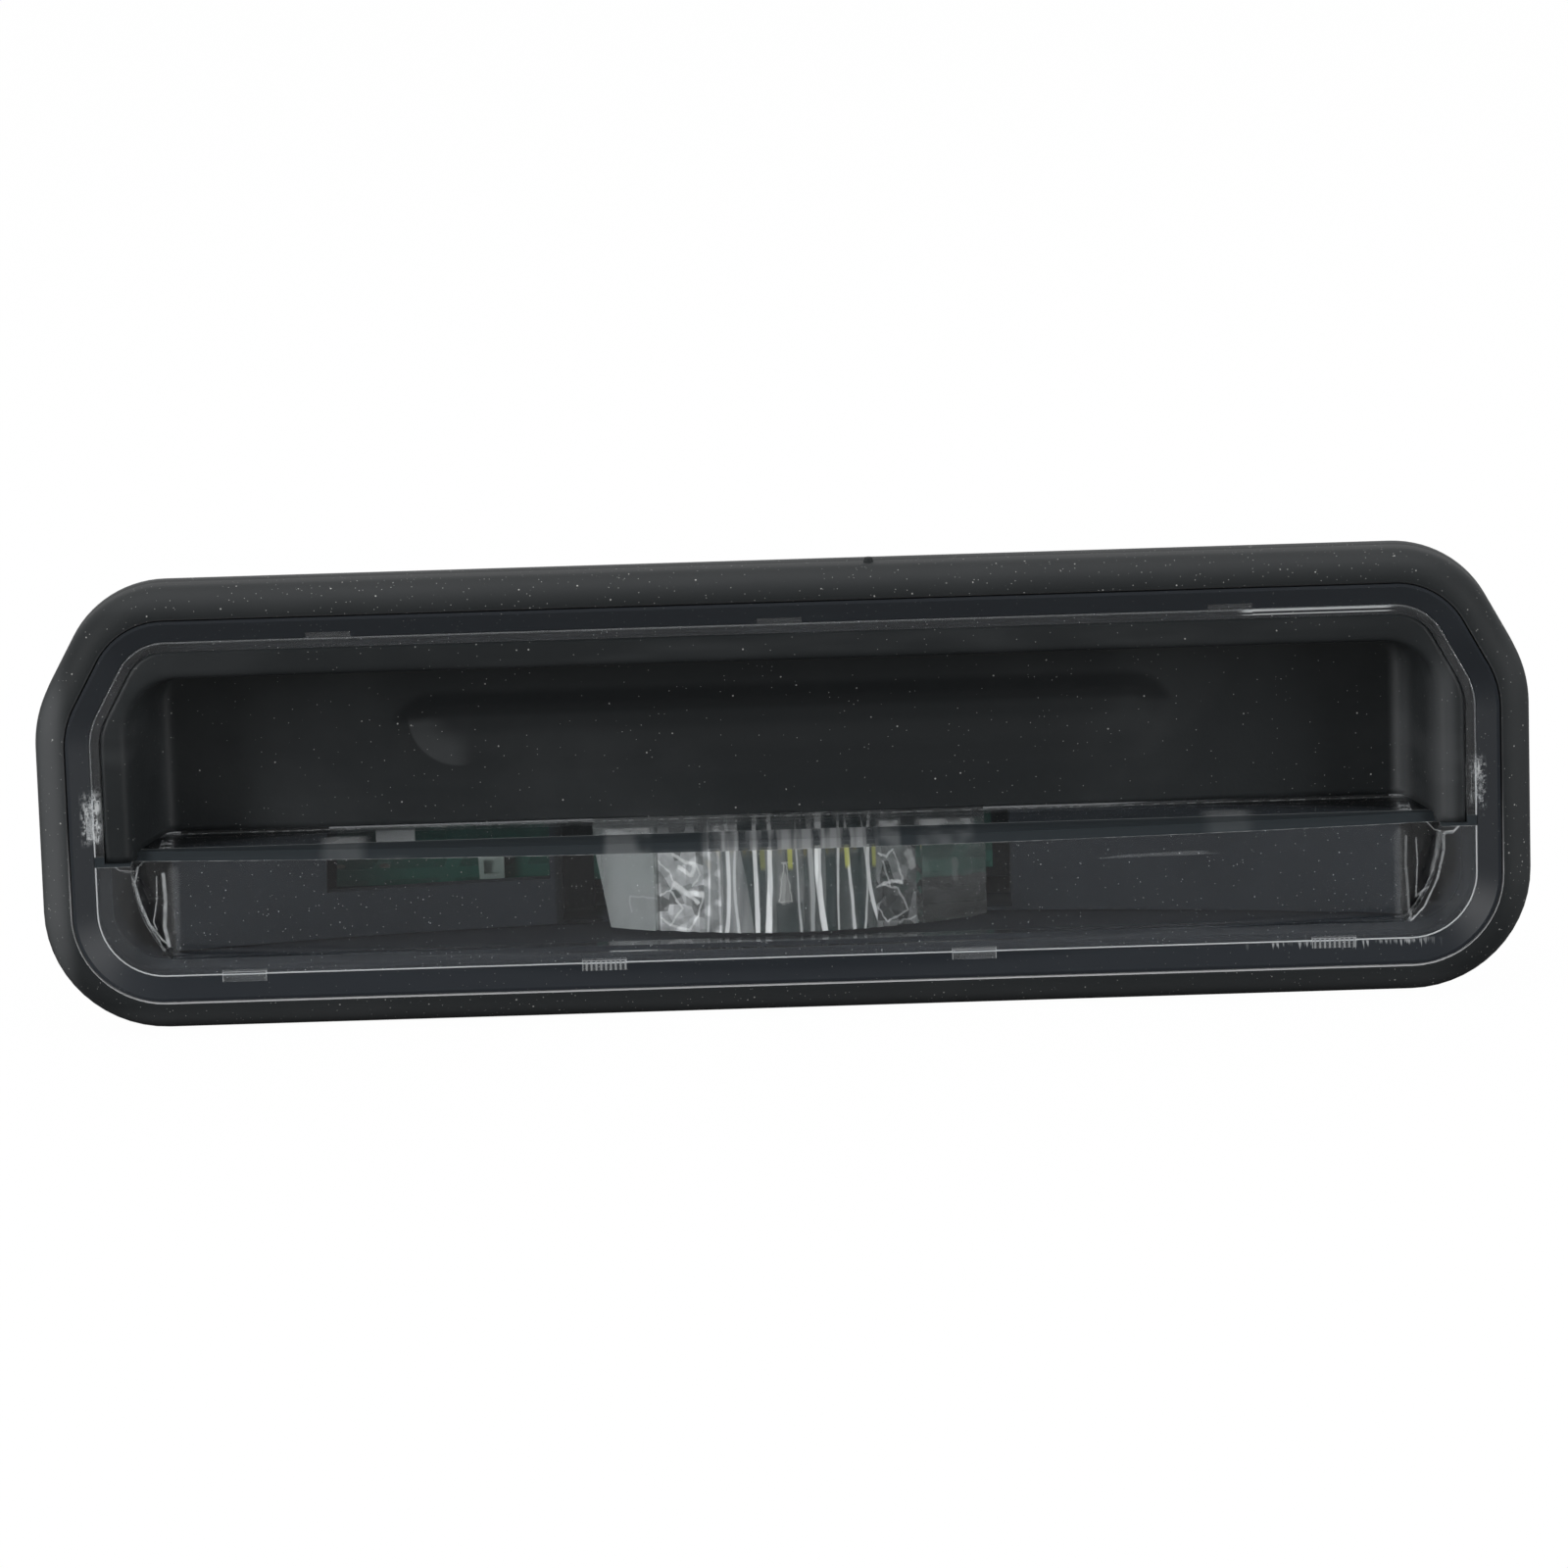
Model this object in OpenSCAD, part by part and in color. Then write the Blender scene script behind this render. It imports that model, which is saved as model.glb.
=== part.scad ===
/* [Outline] */
// Width of the unit over the seal
overall_w = 148; // [142:1:156]
// Height of the unit over the seal
overall_h = 44.7; // [44:0.1:48]
// Radius of the two lower corners
corner_r_bottom = 12.1; // [11:0.1:13]
// Width of the sloping cut at each upper corner
corner_cut_w = 7; // [6.4:0.1:7.6]
// Height of the sloping cut at each upper corner
corner_cut_h = 12.7; // [12:0.1:13.4]
// Radius where the slope meets the top edge
corner_r_top = 10.7; // [10.2:0.1:11.2]
// Radius where the slope meets the side edge
corner_r_side = 12.6; // [11.6:0.1:13.6]

/* [Seal] */
// Depth of the seal from the panel to its front
gasket_depth = 7; // [6.6:0.1:7.6]
// Width of the seal seen from the front
gasket_w = 3.1; // [2.9:0.1:3.3]
// Radius of the outer front edge of the seal
gasket_round = 2.9; // [2.2:0.1:2.9]
// Thickness of the lip under the housing rim
gasket_lip = 1.5; // [1.2:0.1:1.8]
// Height of the moulding nib on the top edge
nib_h = 0.5; // [0.3:0.1:0.8]

/* [Housing] */
// Depth of the box behind the panel
box_depth = 24; // [23.5:0.5:30]
// Wall thickness of the box
wall = 1.4; // [1.3:0.1:1.5]
// Thickness of the rear wall
back_wall = 1.6; // [1.4:0.1:2]
// Length of the connector socket
socket_depth = 10; // [9.5:0.5:12]
// Inner width of the connector socket
socket_w = 13; // [12:0.5:16]
// Inner height of the connector socket
socket_h = 7; // [6.5:0.5:8]

/* [Lens] */
// Front to back drop of the lower edge of the clear cover at its rim
rim_drop = 1.2; // [1:0.1:1.4]
// Sag of the clear window from its middle to its ends
window_bow = 3.7; // [3.2:0.1:3.8]
// Thickness of the clear window
window_t = 2; // [1.8:0.1:2.2]
// Thickness of the clear shelf over the window
shelf_t = 1; // [0.9:0.1:1.4]
// Distance of the clear shelf below the middle
shelf_drop = 4.6; // [4.2:0.1:5]
// Width of the locking tabs on the clear rim
tab_w = 4.4; // [3.6:0.1:5]

/* [Finger recess] */
// Depth of the finger recess
recess_depth = 12.5; // [12:0.1:13]
// Width of the slope of each side wall of the recess
recess_draft = 3; // [2.6:0.1:3.4]
// Radius of the two upper corners of the recess mouth
mouth_r = 5.4; // [4.6:0.1:6]
// Thickness of the rubber liner
liner_t = 1.2; // [1:0.1:1.3]
// Length of the shallow finger mark
dimple_len = 80; // [70:1:90]
// Height of the shallow finger mark
dimple_h = 10; // [9:0.1:11]
// Depth of the shallow finger mark
dimple_depth = 0.7; // [0.5:0.05:0.8]
// Full travel of the push plate in degrees
press_angle = 5; // [4:0.5:5]

/* [Lamp] */
// Width of the light guide
guide_w = 39.4; // [36:0.2:41]
// Bow of the front of the light guide
guide_bow = 6; // [5:0.1:6.4]
// Number of upright flutes on the light guide
flutes = 10; // [6:1:12]
// Thickness of the circuit board
board_t = 1.6; // [1.2:0.1:1.6]

/* [Hidden] */
$fn = 64;
fine_fn = 720;
fit_gap = 0.05;
bend_proud = 0.02;
core_inset = 8;
half_w = overall_w / 2;
half_h = overall_h / 2;
cut_turn_side = atan(corner_cut_w / corner_cut_h);
cut_turn_top = 90 - cut_turn_side;

// depths, measured toward the viewer from the panel
z_front = gasket_depth;
z_rim = gasket_depth - rim_drop;
z_ledge = gasket_lip + 1.5;
z_pad = z_front - recess_depth;
z_liner = z_pad - liner_t;
plate_t = 1.6;
z_board = z_pad - 7.5;
z_back = -box_depth;

// insets, measured inward from the outer outline
in_rim = gasket_w + 0.05;
in_cover = in_rim + 2.2;
in_lip = in_cover + 1.05;
in_box = in_cover + 0.1;
in_inner = in_box + wall;

// recess and window
open_w = half_w - 9;
open_top = half_h - 9.35;
back_w = open_w - recess_draft;
back_top = open_top - 0.5;
lip_end_y = -shelf_drop - 0.75;
lip_z = z_rim - 0.6;
shelf_y = -shelf_drop;
window_low = -half_h + 7.15;
end_r = 13.5;
window_top = shelf_y - shelf_t;
bow_r = (open_w * open_w + window_bow * window_bow) / (2 * window_bow);

// push plate and switch
hinge_y = open_top - 2;
hinge_z = z_liner - 2.8;
hinge_r = 2.2;
pin_r = 1.2;
pin_len = 2.2;
plate_half = back_w - 2;
plate_low = shelf_y + 0.9;
switch_y = 1;
switch_half = 3.1;
plunger_r = 1.4;
switch_h = 3;
plunger_gap = 0.3;

// lamp parts
board_x0 = -45.5;
board_x1 = 20.9;
board_y0 = window_low + 2.85;
board_y1 = hinge_y - 3;
pocket_w = guide_w / 2 + 2.9;
bezel_low = window_low - 0.1;
bezel_t = 1.5;
bezel_edge = open_w - 3.9;
bezel_rise = 7.96;
bezel_r = (bezel_edge * bezel_edge + bezel_rise * bezel_rise) / (2 * bezel_rise);
bezel_z = z_pad - 1.5;
guide_z = 3.2;
guide_x = 0.3;
guide_top = window_top - 0.15;
guide_low = window_low + 0.35;
guide_rear = z_board + 1.5;
led_y = guide_top - 2.3;
coil_x = board_x0 + 14.3;
coil_y = board_y0 + 0.6;
flute_r = 0.85;
flute_pitch = 1.6;

// connector
socket_x = -14;
socket_y = 3;
socket_wall = 1.3;
pin_w = 0.8;
pin_pitch = 2.54;

// corner points of the outline with their radii, moved inward by an inset
function corners(inset) =
    let (w = half_w - inset,
         h = half_h - inset,
         side_y = half_h - corner_cut_h - inset * tan(cut_turn_side / 2),
         top_x = half_w - corner_cut_w - inset * tan(cut_turn_top / 2))
    [[-w, -h, corner_r_bottom - inset],
     [w, -h, corner_r_bottom - inset],
     [w, side_y, corner_r_side - inset],
     [top_x, h, corner_r_top - inset],
     [-top_x, h, corner_r_top - inset],
     [-w, side_y, corner_r_side - inset]];
function xy(p) = [p[0], p[1]];
function edge_angle(pts, i) =
    let (n = len(pts), a = pts[i % n], b = pts[(i + 1) % n]) atan2(b[1] - a[1], b[0] - a[0]);
function turn(pts, i) =
    let (d = edge_angle(pts, i) - edge_angle(pts, i + len(pts) - 1)) d < 0 ? d + 360 : d;
function along(angle, r) = [r * cos(angle), r * sin(angle)];
function reach(pts, i) = pts[i][2] * tan(turn(pts, i) / 2);
function bend_in(pts, i) = xy(pts[i]) - along(edge_angle(pts, i + len(pts) - 1), reach(pts, i));
function bend_out(pts, i) = xy(pts[i]) + along(edge_angle(pts, i), reach(pts, i));
function bend_centre(pts, i) =
    bend_in(pts, i) + along(edge_angle(pts, i + len(pts) - 1) + 90, pts[i][2]);

// the rounded outline as a flat shape
module outline(inset) {
    pts = corners(inset);
    polygon([for (i = [0:len(pts) - 1]) each [bend_in(pts, i), bend_out(pts, i)]]);
    for (i = [0:len(pts) - 1])
        translate(bend_centre(pts, i)) circle(pts[i][2] + bend_proud);
}

// a solid on the outline whose side follows a profile of [distance outward, depth] points, rear first
// the bends stand out by a hair so that they cross the straights cleanly
module profiled_body(profile) {
    pts = corners(0);
    n = len(pts);
    z0 = profile[0][1];
    z1 = profile[len(profile) - 1][1];
    for (i = [0:n - 1]) {
        from = bend_out(pts, i);
        to = bend_in(pts, (i + 1) % n);
        translate(bend_centre(pts, i))
            rotate_extrude()
                polygon(concat([[0, z0]], [for (p = profile) [pts[i][2] + bend_proud + p[0], p[1]]], [[0, z1]]));
        translate(to)
            rotate(edge_angle(pts, i) - 90)
                rotate([90, 0, 0])
                    linear_extrude(norm(to - from))
                        polygon(concat([[-core_inset - 1, z0]], profile, [[-core_inset - 1, z1]]));
    }
    slab(z0, z1) outline(core_inset);
}

// a box given by its two opposite corners
module block(low, high) {
    translate(low) cube(high - low);
}

// a flat shape given depth between two planes
module slab(z0, z1) {
    translate([0, 0, z0]) linear_extrude(z1 - z0) children();
}

// a flat shape drawn in width and depth, given height between two levels
module rise(y0, y1) {
    translate([0, y1, 0]) rotate([90, 0, 0]) linear_extrude(y1 - y0) children();
}

// plan coordinates turned so that the front faces the viewer
module stand_up() {
    rotate([90, 0, 0]) children();
}

// the same thing on both sides of the middle
module both_sides() {
    children();
    mirror([1, 0, 0]) children();
}

// places of the locking tabs round the clear rim
module at_tabs() {
    low = half_h - in_cover;
    for (x = [-54.2, -18.4, 18.4, 54.2])
        translate([x, -low, 0]) children();
    for (x = [-44.5, 0, 44.5])
        translate([x, low, 0]) rotate(180) children();
    for (side = [-1, 1])
        translate([side * (half_w - in_cover), -1, 0]) rotate(side * 90) children();
}

module tab_block(grow) {
    block([-tab_w / 2 - grow, -0.9 - grow, z_rim - 0.8 - grow], [tab_w / 2 + grow, 0.6, z_rim + 0.35 + grow]);
}

// the space a finger enters, larger by a skin thickness
module recess_space(skin, y0, z1) {
    intersection() {
        slab(z_pad - skin, z1)
            recess_mouth(skin, y0);
        rise(y0 - 1, half_h)
            polygon([[-back_w - skin, z_pad - skin],
                     [back_w + skin, z_pad - skin],
                     [open_w + skin, lip_z],
                     [open_w + skin, z_front + 2],
                     [-open_w - skin, z_front + 2],
                     [-open_w - skin, lip_z]]);
    }
}

module recess_mouth(skin, y0) {
    w = open_w + skin;
    top = open_top + skin;
    r = mouth_r + skin;
    polygon([[-w, y0], [w, y0], [w, top - r], [w - r, top], [r - w, top], [-w, top - r]]);
    for (side = [-1, 1])
        translate([side * (w - r), top - r]) circle(r + bend_proud);
}

// the shallow oval finger mark, cut by a rod with ball ends
module dimple() {
    rod = (dimple_h * dimple_h / 4 + dimple_depth * dimple_depth) / (2 * dimple_depth);
    half = (dimple_len - dimple_h) / 2;
    intersection() {
        block([-back_w, shelf_y, z_liner], [back_w, back_top, z_pad + 0.5]);
        translate([0, (open_top + shelf_y) / 2 + 0.3, z_pad - dimple_depth + rod]) {
            translate([-half, 0, 0]) rotate([0, 90, 0]) cylinder(h = 2 * half, r = rod, $fn = 180);
            both_sides()
                translate([half, 0, 0]) sphere(rod, $fn = 180);
        }
    }
}

// what lies outside the rounded front edge of the seal, cut by long bars and by a wedge at each bend
module seal_edge_cut() {
    pts = corners(0);
    n = len(pts);
    full = [for (a = [0:15:90]) [gasket_round * (cos(a) - 1), gasket_depth + gasket_round * (sin(a) - 1)]];
    last = len(full) - 1;
    arc = concat([1.3 * full[0] - 0.3 * full[1]],
                 [for (i = [1:last - 1]) full[i]],
                 [1.3 * full[last] - 0.3 * full[last - 1]]);
    over = gasket_depth + 1;
    for (i = [0:n - 1]) {
        from = bend_out(pts, i) - along(edge_angle(pts, i), 2.5);
        to = bend_in(pts, (i + 1) % n) + along(edge_angle(pts, i), 2.5);
        translate(to)
            rotate(edge_angle(pts, i) - 90)
                rotate([90, 0, 0])
                    linear_extrude(norm(to - from))
                        polygon(concat(arc, [[arc[last][0], over], [3, over], [3, arc[0][1]]]));
        r = pts[i][2];
        translate(bend_centre(pts, i))
            rotate(edge_angle(pts, i + n - 1) - 90)
                rotate_extrude(angle = turn(pts, i))
                    polygon(concat([for (p = arc) [r + bend_proud + p[0], p[1]]],
                                   [[r + arc[last][0], over], [r + 3, over], [r + 3, arc[0][1]]]));
    }
}

module seal_gasket() {
    color([0.07, 0.075, 0.08]) stand_up() {
        difference() {
            slab(0, gasket_depth) outline(0);
            seal_edge_cut();
            slab(gasket_lip, gasket_depth + 1) outline(gasket_w);
            slab(-1, gasket_depth) outline(in_cover - 0.15);
        }
        translate([9, half_h - 0.4, 3.2]) rotate([-90, 0, 0]) cylinder(h = nib_h + 0.4, r = 0.55);
    }
}

module housing() {
    color([0.035, 0.037, 0.042]) stand_up() {
        difference() {
            union() {
                housing_shell();
                housing_inside();
                housing_socket();
            }
            at_tabs() tab_block(0);
            both_sides()
                translate([plate_half - 1, hinge_y, hinge_z])
                    rotate([0, 90, 0]) cylinder(h = pin_len + 1.6, r = pin_r + fit_gap);
            screw_places() slab(z_board - board_t - 6, z_board - board_t + 1) circle(0.95);
            socket_hollow();
            for (i = [0:3])
                terminal_core(i, z_back - 1, z_back + back_wall + 1);
        }
    }
}

// the outer wall with the rim that carries the seal and the clear cover
module housing_shell() {
    fall = (z_front - z_rim) / (in_cover - in_rim - 0.3);
    difference() {
        union() {
            slab(gasket_lip, z_front) outline(in_rim);
            slab(z_back, gasket_lip + 0.5) outline(in_box);
        }
        slab(z_ledge, z_front + 1) outline(in_cover);
        slab(z_back + back_wall, z_front) outline(in_inner);
        profiled_body([[-in_cover - 0.5, z_rim - 0.5 * fall], [-in_rim - 0.3, z_front], [-in_rim - 0.3, z_front + 1]]);
    }
}

// dividing wall, hinge ears, screw posts, stops and the hooks under the box
module housing_inside() {
    inner_x = half_w - in_inner + 0.3;
    block([-inner_x, window_top, z_board + 0.3], [inner_x, window_top + 1.4, z_liner]);
    both_sides() {
        block([plate_half + 0.3, hinge_y - 2.6, z_back + 1], [plate_half + 2.3, half_h - in_inner + 0.4, z_liner - 0.5]);
        block([plate_half - 8, plate_low, z_back + 1], [plate_half - 4, plate_low + 3, z_liner - plate_t - 1.75]);
    }
    difference() {
        slab(z_liner, z_ledge) outline(in_box + wall / 2);
        translate([0, 0, z_liner - 1]) linear_extrude(z_ledge - z_liner + 2)
            translate([-half_w, -half_h]) square([overall_w, half_h + shelf_y]);
        recess_space(liner_t, shelf_y - 1, z_ledge + 1);
    }
    screw_places() slab(z_back + 0.5, z_board - board_t) circle(2.4);
    for (x = [-40, 0, 16])
        block([x - 1, board_y0 + 0.3, z_back + 0.5], [x + 1, board_y0 + 2.3, z_board - board_t]);
    for (x = [-46, 0, 46])
        hook(x);
    both_sides()
        clip_guides();
}

module hook(x) {
    low = -half_h + in_box;
    block([x - 4, low - 1.9, -6], [x + 4, low + 0.5, -4.4]);
    block([x - 0.8, low - 1.9, -14], [x + 0.8, low + 0.5, -5]);
}

module clip_guides() {
    edge = half_w - in_box;
    for (y = [-8.7, 4.5])
        block([edge - 0.4, y, -21], [edge + 1.2, y + 1.2, -3.2]);
    block([edge - 0.4, -8, -21.8], [edge + 1.2, 5, -20.6]);
}

module socket_block(grow, z0, z1) {
    block([socket_x - socket_w / 2 - grow, socket_y - socket_h / 2 - grow, z0],
          [socket_x + socket_w / 2 + grow, socket_y + socket_h / 2 + grow, z1]);
}

module housing_socket() {
    socket_block(socket_wall, z_back - socket_depth, z_back + 0.5);
    block([socket_x - 2, socket_y + socket_h / 2 + 0.5, z_back - socket_depth + 1],
          [socket_x + 2, socket_y + socket_h / 2 + socket_wall + 1.2, z_back - socket_depth + 2.6]);
}

module socket_hollow() {
    socket_block(0, z_back - socket_depth - 1, z_back);
}

module screw_places() {
    for (x = [board_x0 + 4, board_x1 - 4])
        translate([x, board_y1 - 3.2, 0]) children();
}

module terminal_core(i, z0, z1) {
    x = socket_x + (i - 1.5) * pin_pitch;
    block([x - pin_w / 2, socket_y - pin_w / 2, z0], [x + pin_w / 2, socket_y + pin_w / 2, z1]);
}

module terminal(i) {
    color([0.72, 0.7, 0.62]) stand_up()
        terminal_core(i, z_back - socket_depth + 5, z_board + 0.9);
}

module lens_cover() {
    color([0.55, 0.6, 0.68, 0.35]) stand_up() {
        slab(z_ledge, z_rim)
            difference() {
                outline(in_cover + fit_gap);
                difference() {
                    outline(in_lip);
                    translate([-half_w, -half_h]) square([overall_w, half_h + lip_end_y]);
                }
                window_opening();
            }
        intersection() {
            lens_window();
            union() {
                slab(z_ledge, z_front + 1) outline(in_cover + 0.1);
                slab(z_pad - 1, z_ledge + 0.5) outline(in_inner + 0.1);
            }
        }
        at_tabs() tab_block(0);
    }
}

// opening in the clear rim, its lower ends drawn in by long arcs
module window_opening() {
    r = end_r;
    y = shelf_y - 1.3;
    intersection() {
        union() {
            translate([-open_w, y]) square([2 * open_w, open_top]);
            translate([r - open_w, window_low - 1]) square([2 * (open_w - r), half_h]);
            for (side = [-1, 1])
                translate([side * (open_w - r), y]) circle(r + bend_proud);
        }
        translate([-half_w, window_low]) square([overall_w, half_h + open_top]);
    }
}

// bowed window and the shelf behind it, one clear piece
module lens_window() {
    difference() {
        intersection() {
            union() {
                difference() {
                    block([-open_w, window_low - 0.4, z_pad], [open_w, shelf_y, z_front + 1]);
                    translate([0, 0, z_pad - 1]) end_corners(z_front - z_pad + 3);
                }
                rise(window_top, shelf_y)
                    polygon([[-back_w - liner_t, z_pad], [back_w + liner_t, z_pad],
                             [open_w + liner_t, z_ledge], [-open_w - liner_t, z_ledge]]);
            }
            bow_cylinder(0);
        }
        intersection() {
            block([-open_w - 5, -half_h, z_pad - 10], [open_w + 5, window_top, z_front + 5]);
            union() {
                bow_cylinder(window_t);
                block([-open_w - 5, -half_h, z_pad - 10], [open_w + 5, window_top, 0]);
            }
        }
    }
    both_sides()
        block([open_w - 3.7, window_low - 0.2, z_pad + 3], [open_w - 2.5, window_top + 0.5, z_front - window_bow - 0.5]);
}

// what lies outside the long arcs at the lower ends of the window
module end_corners(depth) {
    r = end_r + 0.3;
    y = shelf_y - 1.3;
    both_sides()
        linear_extrude(depth)
            difference() {
                translate([open_w - r + 0.3, window_low - 2]) square([r + 2, y - window_low + 2]);
                translate([open_w - r + 0.3, y]) circle(r);
            }
}

module bow_cylinder(inset) {
    translate([0, -half_h, z_front - bow_r])
        rotate([-90, 0, 0]) cylinder(h = overall_h, r = bow_r - inset, $fn = fine_fn);
}

module finger_pad() {
    color([0.06, 0.062, 0.065]) stand_up()
        difference() {
            union() {
                slab(z_ledge, lip_z)
                    difference() {
                        outline(in_lip + fit_gap);
                        translate([-half_w, -half_h]) square([overall_w, half_h + lip_end_y]);
                    }
                recess_space(liner_t, shelf_y, z_ledge + 0.5);
                block([-back_w - liner_t, window_top, z_liner], [back_w + liner_t, shelf_y + 1, z_pad]);
            }
            recess_space(0, lip_end_y - 5, lip_z + 1);
            dimple();
        }
}

module push_plate() {
    color([0.09, 0.09, 0.1]) stand_up() {
        block([-plate_half, plate_low, z_liner - plate_t], [plate_half, hinge_y + 1, z_liner]);
        translate([-plate_half, hinge_y, hinge_z]) rotate([0, 90, 0]) cylinder(h = 2 * plate_half, r = hinge_r);
        translate([-plate_half - pin_len, hinge_y, hinge_z])
            rotate([0, 90, 0]) cylinder(h = 2 * (plate_half + pin_len), r = pin_r);
    }
}

// concave panel in plan, used by the bezel
module bezel_arc(front, rear) {
    difference() {
        circle(bezel_r + rear - front, $fn = fine_fn);
        circle(bezel_r, $fn = fine_fn);
    }
}

module lamp_bezel() {
    edge = bezel_edge;
    blind_x = guide_x - guide_w / 2 - 0.1;
    color([0.1, 0.11, 0.14]) stand_up() {
        block([-pocket_w - 0.4, bezel_low, z_board + 0.6], [blind_x, window_top - 0.1, z_board + 1.8]);
        difference() {
            union() {
                intersection() {
                    rise(bezel_low, window_top - 0.1)
                        translate([0, bezel_z + bezel_r]) bezel_arc(0, bezel_t);
                    block([-edge, -half_h, z_board], [edge, half_h, z_rim]);
                }
                both_sides()
                    block([pocket_w, bezel_low, z_board + 0.6], [pocket_w + 1.2, window_top - 0.1, bezel_z + 1.05]);
                block([-edge, bezel_low, z_board + 0.6], [edge, bezel_low + 0.35, bezel_z]);
            }
            block([-pocket_w, bezel_low + 0.35, z_board - 1], [pocket_w, half_h, z_front]);
            block([board_x0 - 0.5, bezel_low + 4.7, bezel_z - 3], [-pocket_w - 1.2, half_h, z_front]);
        }
    }
}

module light_guide() {
    r = (guide_w * guide_w / 4 + guide_bow * guide_bow) / (2 * guide_bow);
    color([0.75, 0.78, 0.78, 0.5]) stand_up()
        difference() {
            intersection() {
                block([guide_x - guide_w / 2, guide_low, guide_rear], [guide_x + guide_w / 2, guide_top, guide_z]);
                translate([guide_x, guide_low - 1, guide_z - r])
                    rotate([-90, 0, 0]) cylinder(h = 20, r = r, $fn = fine_fn / 2);
            }
            for (i = [0:flutes - 1])
                guide_flute(i, r);
            for (x = [-11.9, -9.7, 9.9, 12.1], row = [0:2])
                guide_pillow(x, guide_low + 1.6 + row * 2.7, r);
            translate([guide_x - guide_w / 2 - 1, guide_low - 1, guide_rear - 1])
                rotate([0, 0, 8]) cube([1.1, 20, 30]);
        }
}

// one hollow of the pillow fields beside the flutes
module guide_pillow(x, y, r) {
    dx = x - guide_x;
    translate([x, y, guide_z - r + sqrt(r * r - dx * dx) + 1.75]) sphere(2.05, $fn = 36);
}

// one upright hollow cut in the bowed front
module guide_flute(i, r) {
    x = 1.45 + (i - (flutes - 1) / 2) * flute_pitch;
    dx = x - guide_x;
    z = guide_z - r + sqrt(r * r - dx * dx);
    translate([x, guide_low - 1, z + flute_r * 0.62])
        rotate([-90, 0, 0]) cylinder(h = 20, r = flute_r, $fn = 32);
}

module circuit_board() {
    color([0.05, 0.2, 0.15]) stand_up()
        difference() {
            block([board_x0, board_y0, z_board - board_t], [board_x1, board_y1, z_board]);
            screw_places() slab(z_board - board_t - 1, z_board + 1) circle(1.15);
            for (i = [0:3])
                terminal_core(i, z_board - board_t - 1, z_board + 1);
        }
}

module led(x) {
    color([0.85, 0.84, 0.7]) stand_up() {
        block([x - 1.6, led_y - 1.4, z_board], [x + 1.6, led_y + 1.4, z_board + 0.7]);
        slab(z_board + 0.5, z_board + 0.85) translate([x, led_y]) circle(1.1);
    }
}

module switch_body() {
    color([0.12, 0.12, 0.13]) stand_up()
        difference() {
            block([-switch_half, switch_y - switch_half, z_board],
                  [switch_half, switch_y + switch_half, z_board + switch_h]);
            translate([0, switch_y, z_board + 0.3]) cylinder(h = switch_h, r = plunger_r + fit_gap);
        }
}

module switch_plunger() {
    color([0.5, 0.2, 0.12]) stand_up()
        translate([0, switch_y, z_board + 1.5])
            cylinder(h = z_liner - plate_t - plunger_gap - z_board - 1.5, r = plunger_r);
}

module board_screws() {
    color([0.6, 0.6, 0.6]) stand_up()
        screw_places() {
            difference() {
                slab(z_board, z_board + 1.3) circle(1.9);
                slab(z_board + 0.6, z_board + 2) square([0.5, 2.2], center = true);
                slab(z_board + 0.6, z_board + 2) square([2.2, 0.5], center = true);
            }
            slab(z_board - board_t - 4.5, z_board + 0.3) circle(0.9);
        }
}

module driver_chip() {
    color([0.05, 0.05, 0.06]) stand_up() {
        block([-28, -1, z_board + 0.1], [-23, 3, z_board + 1.5]);
        for (i = [0:3])
            for (side = [-1, 1])
                translate([-27.4 + i * 1.27, 1 + side * 2.4, z_board])
                    block([0, -0.5, 0], [0.5, 0.5, 0.4]);
    }
}

module filter_capacitor() {
    color([0.8, 0.82, 0.82]) stand_up()
        block([-41.5, led_y - 1.1, z_board], [-37.6, led_y + 0.8, z_board + 1.4]);
}

module square_coil() {
    color([0.3, 0.36, 0.34]) stand_up()
        difference() {
            block([coil_x, coil_y, z_board], [coil_x + 2.6, coil_y + 2.4, z_board + 1.2]);
            block([coil_x + 0.5, coil_y + 0.5, z_board + 0.5], [coil_x + 2.1, coil_y + 1.9, z_board + 2]);
        }
}

module chip_resistors() {
    color([0.1, 0.1, 0.11]) stand_up()
        for (x = [-20, -17, 8, 11, 14])
            block([x, -2, z_board], [x + 1.6, -1.2, z_board + 0.5]);
}

// bent spring strip that snaps behind the panel
module clip_shape() {
    edge = half_w - in_box;
    polygon([[edge, -20.6], [edge, -4], [edge + 0.5, -4], [edge + 0.5, -19], [edge + 2.9, -6],
             [edge + 1.6, -2.6], [edge + 2.1, -2.4], [edge + 3.5, -6], [edge + 0.8, -20.6]]);
}

module retaining_clip() {
    rise(-7, 4) clip_shape();
}

module clip_left() {
    color([0.5, 0.5, 0.5]) stand_up() mirror([1, 0, 0]) retaining_clip();
}

module clip_right() {
    color([0.5, 0.5, 0.5]) stand_up() retaining_clip();
}

housing();
seal_gasket();
lens_cover();
finger_pad();
push_plate();
lamp_bezel();
light_guide();
circuit_board();
led(-3.6);  // led_left
led(0.6);  // led_middle
led(4.8);  // led_right
switch_body();
switch_plunger();
board_screws();
driver_chip();
filter_capacitor();
square_coil();
chip_resistors();
terminal(0);  // terminal_a
terminal(1);  // terminal_b
terminal(2);  // terminal_c
terminal(3);  // terminal_d
clip_left();
clip_right();
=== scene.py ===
"""Number plate lamp with a finger recess: dressed pieces, finishes, studio and camera."""

import logging
import math
from dataclasses import dataclass
from enum import Enum
from typing import Iterable, Protocol, Sequence

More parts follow.
